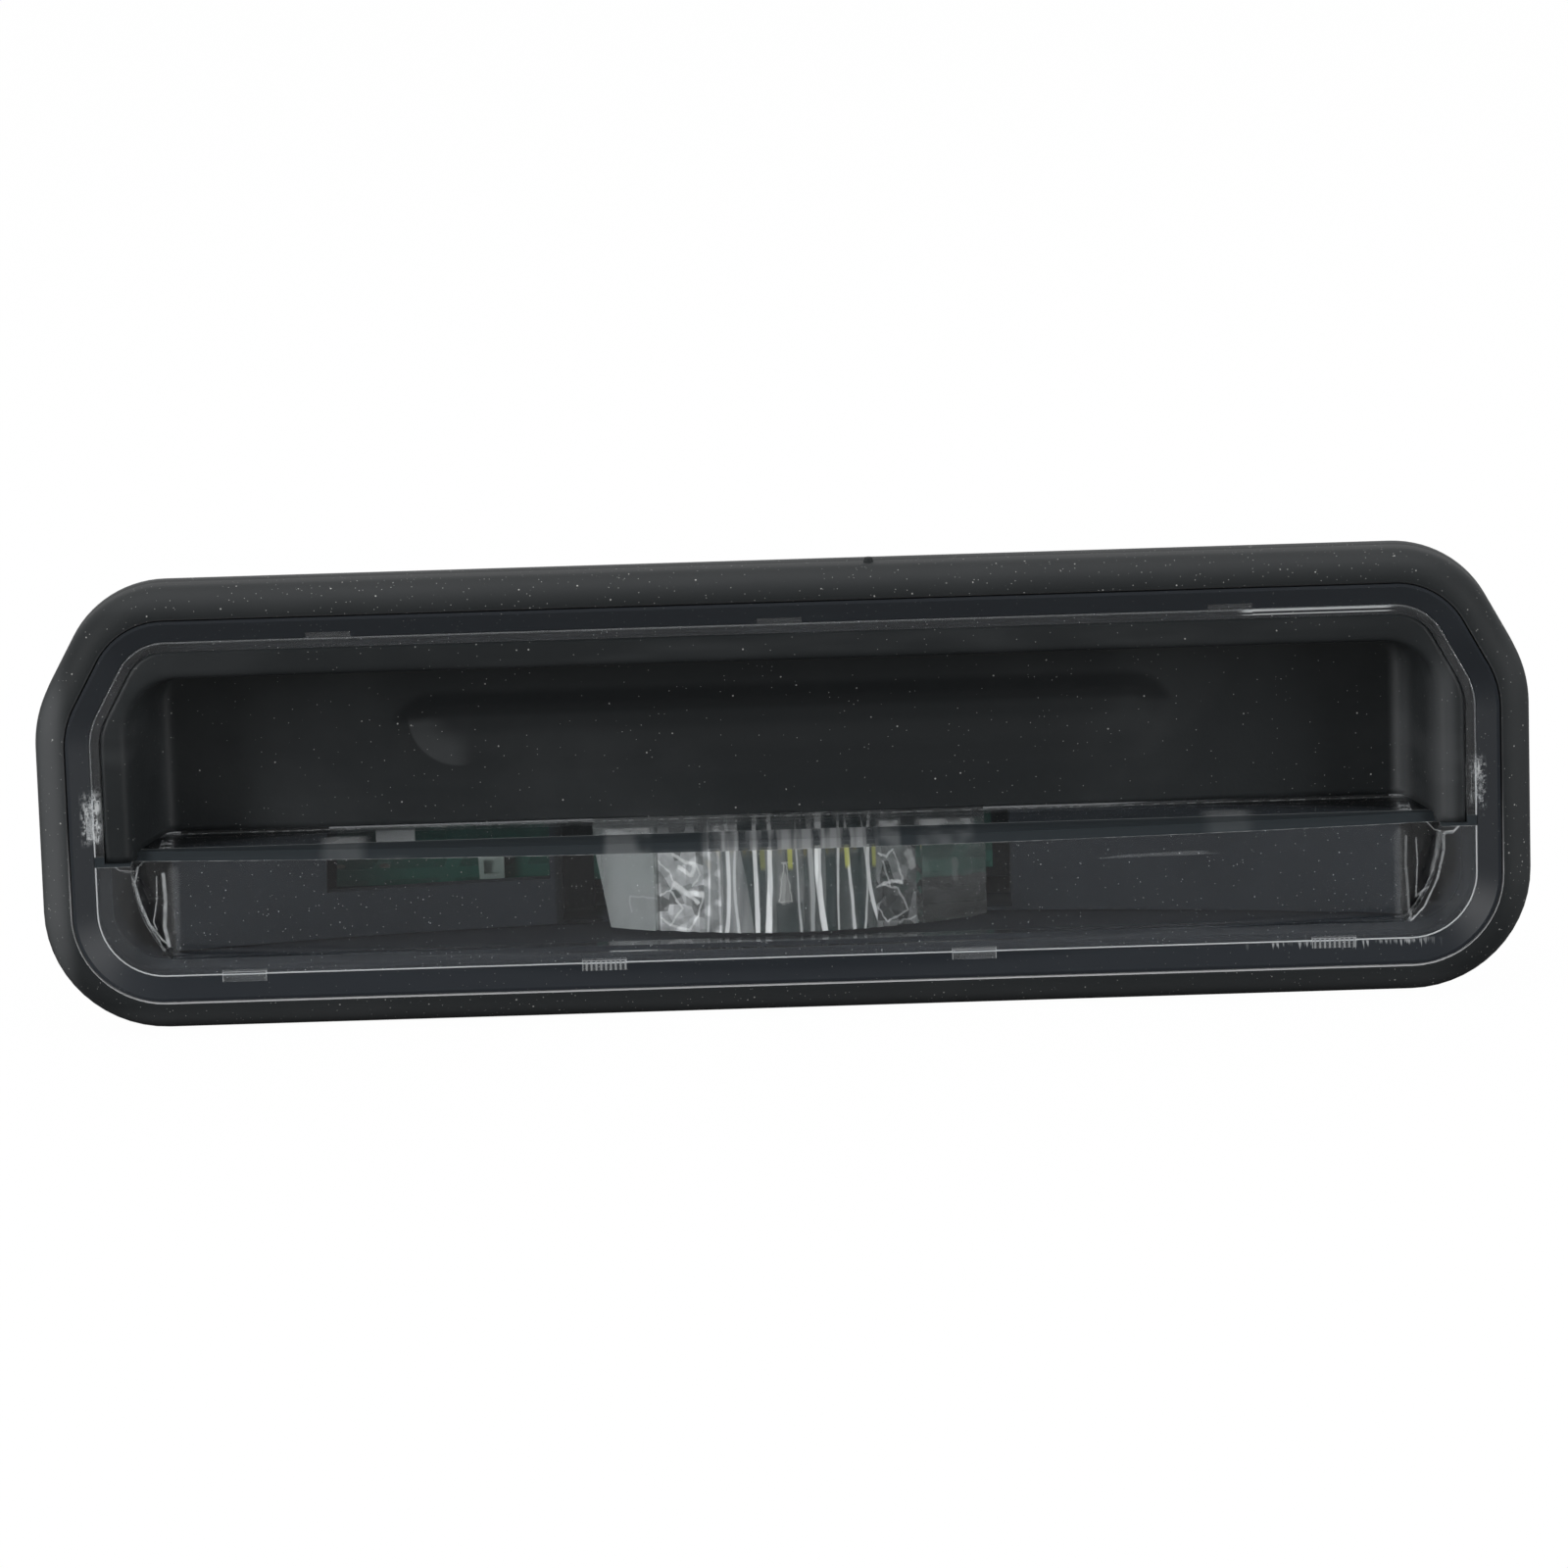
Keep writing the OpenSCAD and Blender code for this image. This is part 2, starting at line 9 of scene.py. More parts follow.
import bmesh
import bpy
import numpy as np
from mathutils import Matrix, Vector


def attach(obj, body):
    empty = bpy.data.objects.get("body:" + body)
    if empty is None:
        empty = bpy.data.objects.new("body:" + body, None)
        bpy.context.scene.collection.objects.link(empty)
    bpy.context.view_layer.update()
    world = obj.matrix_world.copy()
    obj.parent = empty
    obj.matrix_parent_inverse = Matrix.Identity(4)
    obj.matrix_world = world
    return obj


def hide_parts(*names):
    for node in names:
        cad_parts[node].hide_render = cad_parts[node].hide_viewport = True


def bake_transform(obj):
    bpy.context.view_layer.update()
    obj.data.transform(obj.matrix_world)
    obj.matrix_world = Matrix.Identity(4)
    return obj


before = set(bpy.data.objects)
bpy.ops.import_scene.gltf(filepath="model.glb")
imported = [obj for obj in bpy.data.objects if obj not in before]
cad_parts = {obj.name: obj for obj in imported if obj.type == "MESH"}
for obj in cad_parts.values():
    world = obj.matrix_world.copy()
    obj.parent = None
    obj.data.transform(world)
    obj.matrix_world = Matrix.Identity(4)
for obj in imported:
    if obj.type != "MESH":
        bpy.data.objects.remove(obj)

logging.basicConfig(level=logging.INFO, format="%(message)s")
LOG = logging.getLogger("plate_lamp")
MM = 0.001
SEEN_Y, SEEN_Z, SEEN_LIFT = 0.978, 0.208, 0.48
Colour = tuple[float, float, float]
Pair = tuple[float, float]
Bands = tuple[tuple[float, float, float, float], ...]


# ---------------------------------------------------------------- plan coordinates


def to_row(plan: np.ndarray) -> np.ndarray:
    """Turns plan points into row points: (x, y, z) mm becomes (x, -z, y) in metres.

    Args:
        plan: array of shape (n, 3), x along the unit, y up, z toward the viewer.

    Returns:
        Array of shape (n, 3) in metres, as Blender wants it.
    """
    return np.stack([plan[..., 0], -plan[..., 2], plan[..., 1]], axis=-1) * MM


def smooth(t: np.ndarray) -> np.ndarray:
    """Smoothstep: t * t * (3 - 2 t), with t held between 0 and 1."""
    t = np.clip(t, 0.0, 1.0)
    return t * t * (3.0 - 2.0 * t)


@dataclass(frozen=True)
class UnitSizes:
    """Sizes shared by the pieces, in plan millimetres, as in the solid model."""

    half_w: float = 74.0
    half_h: float = 22.35
    corner_r_bottom: float = 12.1
    corner_cut_w: float = 7.0
    corner_cut_h: float = 12.7
    corner_r_top: float = 10.7
    corner_r_side: float = 12.6
    z_front: float = 7.0
    z_rim: float = 5.8
    z_lip: float = 5.2
    z_pad: float = -5.5
    in_cover: float = 5.35
    in_lip: float = 6.4
    open_w: float = 65.0
    open_top: float = 13.0
    back_w: float = 62.0
    back_top: float = 12.5
    liner_t: float = 1.2
    shelf_y: float = -4.6
    lip_end_y: float = -5.35


@dataclass
class Outline:
    """The rounded six-cornered outline of the unit."""

    sizes: UnitSizes

    def corners(self) -> list[tuple[float, float, float]]:
        """Corner points with their radii, anticlockwise from the lower left.

        Returns:
            List of (x, y, radius).
        """
        s = self.sizes
        side_y, top_x = s.half_h - s.corner_cut_h, s.half_w - s.corner_cut_w
        return [
            (-s.half_w, -s.half_h, s.corner_r_bottom),
            (s.half_w, -s.half_h, s.corner_r_bottom),
            (s.half_w, side_y, s.corner_r_side),
            (top_x, s.half_h, s.corner_r_top),
            (-top_x, s.half_h, s.corner_r_top),
            (-s.half_w, side_y, s.corner_r_side),
        ]

    def path(self, bend_steps: int = 14, straight_step: float = 2.2) -> tuple[np.ndarray, np.ndarray]:
        """Points on the outer outline with their outward normals.

        Each corner is an arc c + r (cos a, sin a) tangent to both sides; each straight is
        p + (q - p) t. The normal of an arc point is (cos a, sin a), that of a straight is its
        direction turned by a right angle.

        Args:
            bend_steps: number of steps in each arc.
            straight_step: largest step along a straight, in mm.

        Returns:
            Points (n, 2) and normals (n, 2), closed and anticlockwise.
        """
        pts = self.corners()
        n = len(pts)
        xy = np.array([p[:2] for p in pts])
        out_p: list[np.ndarray] = []
        out_n: list[np.ndarray] = []
        bends = []
        for i in range(n):
            a, b, c = xy[i - 1], xy[i], xy[(i + 1) % n]
            d0 = (b - a) / np.linalg.norm(b - a)
            d1 = (c - b) / np.linalg.norm(c - b)
            turn = math.acos(float(np.clip(d0 @ d1, -1, 1)))
            r = pts[i][2]
            start = b - d0 * r * math.tan(turn / 2)
            inward = np.array([-d0[1], d0[0]])
            centre = start + inward * r
            a0 = math.atan2(-inward[1], -inward[0])
            ang = a0 + np.linspace(0.0, turn, bend_steps + 1)
            nor = np.stack([np.cos(ang), np.sin(ang)], axis=1)
            bends.append((centre + r * nor, nor))
        for i in range(n):
            arc, nor = bends[i]
            nxt, _ = bends[(i + 1) % n]
            out_p.append(arc)
            out_n.append(nor)
            span = nxt[0] - arc[-1]
            count = max(int(np.linalg.norm(span) / straight_step), 1)
            t = np.linspace(0.0, 1.0, count + 1)[1:-1, None]
            if len(t):
                d = span / np.linalg.norm(span)
                out_p.append(arc[-1] + span * t)
                out_n.append(np.repeat([[d[1], -d[0]]], len(t), axis=0))
        return np.concatenate(out_p), np.concatenate(out_n)


# ---------------------------------------------------------------- meshes


def add_object(name: str, data: bpy.types.ID) -> bpy.types.Object:
    """Makes an object of its data and links it to the scene.

    Args:
        name: its name.
        data: mesh, lamp or camera data.

    Returns:
        The new object at the origin.
    """
    obj = bpy.data.objects.new(name, data)
    bpy.context.scene.collection.objects.link(obj)
    return obj


class MeshMaker:
    """Turns grids of points into mesh objects at the origin."""

    @staticmethod
    def grid_faces(rows: int, cols: int, wrap_rows: bool, wrap_cols: bool, flip: bool = False) -> np.ndarray:
        """Quads of a grid: (i, j), (i+1, j), (i+1, j+1), (i, j+1), wrapped where asked.

        Args:
            rows: number of points in the first direction.
            cols: number of points in the second direction.
            wrap_rows: whether the last row joins the first.
            wrap_cols: whether the last column joins the first.
            flip: whether the faces are turned over.

        Returns:
            Array (m, 4) of vertex numbers.
        """
        i = np.arange(rows if wrap_rows else rows - 1)
        j = np.arange(cols if wrap_cols else cols - 1)
        ii, jj = np.meshgrid(i, j, indexing="ij")
        i1, j1 = (ii + 1) % rows, (jj + 1) % cols
        quads = np.stack([ii * cols + jj, i1 * cols + jj, i1 * cols + j1, ii * cols + j1], axis=-1)
        quads = quads.reshape(-1, 4)
        return quads[:, ::-1] if flip else quads

    @staticmethod
    def build(
        name: str, points: np.ndarray, faces: Iterable[Sequence[int]], uv: np.ndarray | None = None
    ) -> bpy.types.Object:
        """Makes an object of plan points and faces, with an optional map per vertex.

        Args:
            name: piece name.
            points: (n, 3) plan points in mm.
            faces: vertex numbers of each face.
            uv: optional (n, 2) values kept in the UV map "along".

        Returns:
            The new object, linked and at the origin.
        """
        mesh = bpy.data.meshes.new(name)
        rows = to_row(points)
        mesh.from_pydata(rows.tolist(), [], [list(map(int, f)) for f in faces])
        mesh.update()
        if uv is not None:
            layer = mesh.uv_layers.new(name="along")
            index = np.empty(len(mesh.loops), dtype=np.int32)
            mesh.loops.foreach_get("vertex_index", index)
            layer.data.foreach_set("uv", uv[index].astype(np.float32).ravel())
        return add_object(name, mesh)

    @classmethod
    def sweep(
        cls, name: str, sizes: UnitSizes, section: np.ndarray, mapped: bool = False
    ) -> bpy.types.Object:
        """Carries a closed section round the outline: path + normal * outward, depth kept.

        Args:
            name: piece name.
            sizes: shared sizes of the unit.
            section: (n, 2) values of outward distance and depth.
            mapped: whether the places along and across are kept in the UV map.

        Returns:
            The new ring.
        """
        path, normal = Outline(sizes).path()
        xy = path[:, None, :] + normal[:, None, :] * section[None, :, :1]
        z = np.broadcast_to(section[None, :, 1:], (*xy.shape[:2], 1))
        points = np.concatenate([xy, z], axis=-1).reshape(-1, 3)
        uv = None
        if mapped:
            steps = np.linalg.norm(np.diff(path, axis=0), axis=1)
            length = np.concatenate([[0.0], np.cumsum(steps)])[:, None]
            across = np.linspace(0, 1, len(section))[None, :]
            uv = np.stack(np.broadcast_arrays(length / length[-1], across), axis=-1).reshape(-1, 2)
        obj = cls.build(name, points, cls.grid_faces(len(path), len(section), True, True), uv)
        cls.tidy(obj)
        return obj

    @classmethod
    def rings(
        cls, name: str, radius: np.ndarray, level: np.ndarray, centre: Pair, steps: int, cap: bool = False
    ) -> bpy.types.Object:
        """Rings of points round an upright axis: centre + r (cos a, sin a) at each level.

        Args:
            name: piece name.
            radius: radius of each ring in mm.
            level: plan height of each ring in mm.
            centre: plan x and z of the axis in mm.
            steps: points in a ring.
            cap: whether the first ring is closed by a face.

        Returns:
            The new object.
        """
        a = np.linspace(0.0, 2 * np.pi, steps + 1)[:-1]
        x = centre[0] + radius[:, None] * np.cos(a)
        z = centre[1] + radius[:, None] * np.sin(a)
        points = np.stack(np.broadcast_arrays(x, level[:, None], z), axis=-1).reshape(-1, 3)
        faces = cls.grid_faces(len(radius), steps, False, True).tolist()
        if cap:
            faces.append(list(range(steps)))
        return cls.build(name, points, faces)

    @staticmethod
    def tidy(obj: bpy.types.Object, merge: float = 0.004, outward: bool = True) -> None:
        """Merges doubles and turns the faces outward.

        Args:
            obj: the object.
            merge: distance under which points merge, in mm.
            outward: whether the normals are worked out again.
        """
        bm = bmesh.new()
        bm.from_mesh(obj.data)
        bmesh.ops.remove_doubles(bm, verts=bm.verts, dist=merge * MM)
        if outward:
            bmesh.ops.recalc_face_normals(bm, faces=bm.faces)
        bm.to_mesh(obj.data)
        bm.free()

    @staticmethod
    def shade(obj: bpy.types.Object, angle_deg: float = 35.0) -> None:
        """Smooth shading with edges sharper than an angle kept sharp.

        Args:
            obj: the object.
            angle_deg: edge angle above which an edge stays sharp.
        """
        mesh = obj.data
        mesh.polygons.foreach_set("use_smooth", np.ones(len(mesh.polygons), dtype=bool))
        mesh.set_sharp_from_angle(angle=math.radians(angle_deg))

    @staticmethod
    def copy_solid(node: str, name: str, dissolve_deg: float = 0.4) -> bpy.types.Object:
        """A merged copy of a solid's mesh with its flat triangles joined into whole faces.

        Args:
            node: name of the solid.
            name: name of the new piece.
            dissolve_deg: faces that meet at less than this angle are joined.

        Returns:
            The new object.
        """
        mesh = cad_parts[node].data.copy()
        mesh.name = name
        mesh.materials.clear()
        obj = add_object(name, mesh)
        bm = bmesh.new()
        bm.from_mesh(mesh)
        bmesh.ops.remove_doubles(bm, verts=bm.verts, dist=0.002 * MM)
        flat = math.radians(dissolve_deg)
        bmesh.ops.dissolve_limit(bm, angle_limit=flat, verts=bm.verts, edges=bm.edges)
        bm.to_mesh(mesh)
        bm.free()
        return obj

    @staticmethod
    def round_edges(obj: bpy.types.Object, width: float, segments: int = 2, angle_deg: float = 32.0) -> None:
        """Rounds the edges sharper than an angle with a Bevel modifier.

        Args:
            obj: the object.
            width: width of the rounding in mm.
            segments: faces across the rounding.
            angle_deg: smallest edge angle that is rounded.
        """
        mod = obj.modifiers.new("edge", "BEVEL")
        mod.width = width * MM
        mod.segments = segments
        mod.limit_method = "ANGLE"
        mod.angle_limit = math.radians(angle_deg)
        mod.use_clamp_overlap = True
        mod.harden_normals = False


# ---------------------------------------------------------------- shader maths


Value = "Socket | float"


@dataclass(eq=False)
class Socket:
    """A shader socket with arithmetic; each operation adds one Math node."""

    tree: "NodeTree"
    socket: bpy.types.NodeSocket

    def _math(self, operation: str, *values: Value) -> "Socket":
        """Adds a Math node of the named operation."""
        return self.tree.node("ShaderNodeMath", {"operation": operation}, list(values))

    def __add__(self, other: Value) -> "Socket":
        """Sum."""
        return self._math("ADD", self, other)

    __radd__ = __add__

    def __mul__(self, other: Value) -> "Socket":
        """Product."""
        return self._math("MULTIPLY", self, other)

    __rmul__ = __mul__

    def __sub__(self, other: Value) -> "Socket":
        """Difference."""
        return self._math("SUBTRACT", self, other)

    def __rsub__(self, other: Value) -> "Socket":
        """Difference with the socket second."""
        return self._math("SUBTRACT", other, self)

    def __truediv__(self, other: Value) -> "Socket":
        """Quotient."""
        return self._math("DIVIDE", self, other)

    def __lt__(self, other: Value) -> "Socket":
        """One where less, else nought."""
        return self._math("LESS_THAN", self, other)

    def abs(self) -> "Socket":
        """Absolute value."""
        return self._math("ABSOLUTE", self)

    def power(self, exponent: float) -> "Socket":
        """Power."""
        return self._math("POWER", self, exponent)

    def hypot(self, other: "Socket") -> "Socket":
        """Length of the two as sides: sqrt(a a + b b)."""
        return (self * self + other * other).power(0.5)

    def wave(self) -> "Socket":
        """Sine of the value in radians."""
        return self._math("SINE", self)

    def least(self, other: Value) -> "Socket":
        """Lesser of the two."""
        return self._math("MINIMUM", self, other)

    def most(self, other: Value) -> "Socket":
        """Greater of the two."""
        return self._math("MAXIMUM", self, other)

    def step(self, low: float, high: float) -> "Socket":
        """Smooth rise from nought at low to one at high, falling where low is above high."""
        out = self.tree.node(
            "ShaderNodeMapRange",
            {"interpolation_type": "SMOOTHSTEP"},
            {"Value": self, "From Min": min(low, high), "From Max": max(low, high)},
            "Result",
        )
        return out if low < high else 1 - out

    def band(self, centre: float, half: float, soft: float) -> "Socket":
        """One within half of the centre, fading over soft."""
        return (self - centre).abs().step(half + soft, half)

    def bands(self, rows: Bands) -> "Socket":
        """Sum of level * band over rows of (centre, half, soft, level).

        Args:
            rows: the bands.

        Returns:
            The sum.
        """
        total: Value = 0.0
        for centre, half, soft, level in rows:
            total = self.band(centre, half, soft) * level + total
        return total


class NodeTree:
    """Builds the nodes of one material or world."""

    def __init__(self, name: str, world: bool = False) -> None:
        """Makes an empty material or world of that name.

        Args:
            name: its name.
            world: whether it is a world.
        """
        self.material = (bpy.data.worlds if world else bpy.data.materials).new(name)
        self.material.use_nodes = True
        self.tree = self.material.node_tree
        self.tree.nodes.clear()
        self.output = self.tree.nodes.new("ShaderNodeOutputWorld" if world else "ShaderNodeOutputMaterial")

    def node(
        self,
        kind: str,
        settings: dict[str, object] | None = None,
        values: dict[str, object] | list[object] | None = None,
        result: str | int = 0,
    ) -> Socket:
        """Adds a node, sets it up, fills its inputs and returns one output.

        Args:
            kind: node type.
            settings: node properties, set first.
            values: inputs by name or by place, each a number, colour, vector or Socket.
            result: name or place of the output wanted.

        Returns:
            The wrapped output socket.
        """
        made = self.tree.nodes.new(kind)
        for key, value in (settings or {}).items():
            setattr(made, key, value)
        pairs = values.items() if isinstance(values, dict) else enumerate(values or [])
        for key, value in pairs:
            target = made.inputs[key]
            if isinstance(value, Socket):
                self.tree.links.new(value.socket, target)
            elif isinstance(value, tuple) and target.type == "RGBA":
                target.default_value = (*value, 1.0) if len(value) == 3 else value
            else:
                target.default_value = value
        return Socket(self, made.outputs[result])

    def place(self) -> Socket:
        """Object coordinates in metres."""
        return self.node("ShaderNodeTexCoord", result="Object")

    def axes(self) -> tuple[Socket, Socket, Socket]:
        """Plan coordinates in mm: along, up, toward the viewer."""
        point = self.place()
        x, y, z = (self.node("ShaderNodeSeparateXYZ", values=[point], result=name) for name in "XYZ")
        return x * (1.0 / MM), z * (1.0 / MM), y * (-1.0 / MM)

    def stretched(self, scale: tuple[float, float, float]) -> Socket:
        """Object coordinates scaled along each row axis."""
        return self.node("ShaderNodeMapping", values={"Vector": self.place(), "Scale": scale})

    def noise(
        self, scale: float, detail: float = 3.0, rough: float = 0.55, vector: Socket | None = None
    ) -> Socket:
        """Noise between nought and one at a scale per metre."""
        return self.node(
            "ShaderNodeTexNoise",
            values={"Vector": vector or self.place(), "Scale": scale, "Detail": detail, "Roughness": rough},
            result="Fac",
        )

    def grain(self, scale: tuple[float, float, float], detail: float = 3.0, rough: float = 0.55) -> Socket:
        """Noise with a scale per metre of its own along each row axis."""
        return self.noise(1.0, detail, rough, vector=self.stretched(scale))

    def cells(
        self, scale: float, random: float = 1.0, vector: Socket | None = None, result: str = "Distance"
    ) -> Socket:
        """Distance to the nearest cell point at a scale per metre, or that cell's colour."""
        return self.node(
            "ShaderNodeTexVoronoi",
            {"feature": "F1"},
            {"Vector": vector or self.place(), "Scale": scale, "Randomness": random},
            result,
        )

    def lot(self, scale: float, random: float = 1.0, vector: Socket | None = None) -> Socket:
        """A number between nought and one that each cell draws."""
        cell = self.cells(scale, random, vector, "Color")
        return self.node("ShaderNodeSeparateColor", values=[cell], result="Red")

    def specks(self, scale: float, size: float, share: float) -> Socket:
        """Fine dust: a dot in some of the cells, more of them where a broad noise is high.

        Args:
            scale: cells per metre.
            size: radius of a dot as a part of a cell.
            share: part of the cells that hold a dot, nought to one.

        Returns:
            Mask, one on a dot.
        """
        dot = self.cells(scale).step(size, size * 0.45)
        patch = self.noise(60.0, 2.0)
        return dot * (self.lot(scale) < (patch * share * 2.0)) * self.noise(4200.0, 2.0).step(0.3, 0.5)

    def dust(self, fine: float, coarse: float) -> Socket:
        """Dust of two sizes: the shares of the small and the large cells that hold a dot."""
        return self.specks(2100.0, 0.11, fine).most(self.specks(800.0, 0.06, coarse))

    def flat(self, wander: float) -> Socket:
        """Place as (x, v) in millimetres, v being the height at which the photo shows a point.

        v = 0.978 y - 0.208 z + 0.48; noise is added to x and v.

        Args:
            wander: size of the noise in millimetres.

        Returns:
            The place as a vector.
        """
        x, y, z = self.axes()
        v = y * SEEN_Y - z * SEEN_Z + SEEN_LIFT
        x = x + (self.noise(900.0, 3.0) - 0.5) * wander
        v = v + (self.noise(1150.0, 3.0) - 0.5) * wander
        return self.node("ShaderNodeCombineXYZ", values={0: x, 1: v}, result="Vector")

    def stroke(self, place: Socket, line: Sequence[Pair], half: float, soft: float = 0.08) -> Socket:
        """Soft line along a row of points.

        From a to b the distance is |p - a - h (b - a)|, h = (p - a).(b - a) / |b - a|^2 kept
        between nought and one; the least of the distances gives the mask.

        Args:
            place: the (x, v) place.
            line: the points.
            half: half the width of the full part.
            soft: width of the fading part.

        Returns:
            The mask.
        """
        nearest: Socket | None = None
        for (x0, v0), (x1, v1) in zip(line, line[1:]):
            dx, dv = x1 - x0, v1 - v0
            square = dx * dx + dv * dv
            away = self.vector("SUBTRACT", place, (x0, v0, 0.0))
            share = self.vector("DOT_PRODUCT", away, (dx / square, dv / square, 0.0), result="Value")
            foot = self.node(
                "ShaderNodeVectorMath",
                {"operation": "SCALE"},
                {"Vector": (dx, dv, 0.0), "Scale": share.least(1.0).most(0.0)},
                "Vector",
            )
            reach = self.vector("DISTANCE", away, foot, result="Value")
            nearest = reach if nearest is None else nearest.least(reach)
        return nearest.step(half + soft, half)

    def vector(self, operation: str, first: object, second: object, result: str = "Vector") -> Socket:
        """Adds a Vector Math node of the named operation."""
        return self.node("ShaderNodeVectorMath", {"operation": operation}, {0: first, 1: second}, result)

    def worn(self, x: Socket, y: Socket) -> Socket:
        """The two scratched places at the ends of the cover's edge."""
        fine = self.noise(2400.0, 4.0, 0.7)
        hair = self.grain((2600.0, 900.0, 500.0), 3.0, 0.6)
        broad = self.noise(520.0, 3.0)
        left = x.band(-68.7, 0.65, 0.5) * y.band(-0.6, 1.7, 1.3) * broad.step(0.34, 0.48)
        right = x.band(68.75, 0.4, 0.5) * y.band(-1.6, 2.0, 1.6) * broad.step(0.38, 0.54)
        return left * fine.most(hair).step(0.46, 0.6) + right * fine.most(hair).step(0.5, 0.64) * 0.8

    def tint(self, mask: Value, first: object, second: object) -> Socket:
        """Mixes two colours: a mask of nought gives the first, one the second."""
        return self.node("ShaderNodeMix", {"data_type": "RGBA"}, {0: mask, 6: first, 7: second}, 2)

    def bump(self, height: Socket, strength: float, depth: float) -> Socket:
        """Bump normal of a height between nought and one; depth is the height of one in metres."""
        values = {"Height": height, "Strength": strength, "Distance": depth}
        return self.node("ShaderNodeBump", values=values, result="Normal")

    def principled(self, **values: object) -> Socket:
        """Adds a Principled shader; underscores in names stand for spaces."""
        named = {key.replace("_", " "): value for key, value in values.items()}
        return self.node("ShaderNodeBsdfPrincipled", values=named)

    def finish(self, shader: Socket) -> bpy.types.Material:
        """Joins the surface shader to the output and returns the material."""
        self.tree.links.new(shader.socket, self.output.inputs["Surface"])
        return self.material

    def seen_through(self, shader: Socket, shade: float = 0.9) -> Socket:
        """Lets lamp light pass: shadow rays meet a Transparent shader.

        Args:
            shader: the clear shader.
            shade: share of light let through.

        Returns:
            The mixed shader.
        """
        ray = self.node("ShaderNodeLightPath", result="Is Shadow Ray")
        clear = self.node("ShaderNodeBsdfTransparent", values={"Color": (shade, shade, shade)})
        return self.node("ShaderNodeMixShader", values={0: ray, 1: shader, 2: clear})


# ---------------------------------------------------------------- finishes


class Finish(Protocol):
    """A finish that can make its material."""

    def make(self) -> bpy.types.Material:
        """Builds the material."""


class RubberPart(Enum):
    """Which rubber piece a finish is for."""

    SEAL = "seal"
    LINER = "liner"


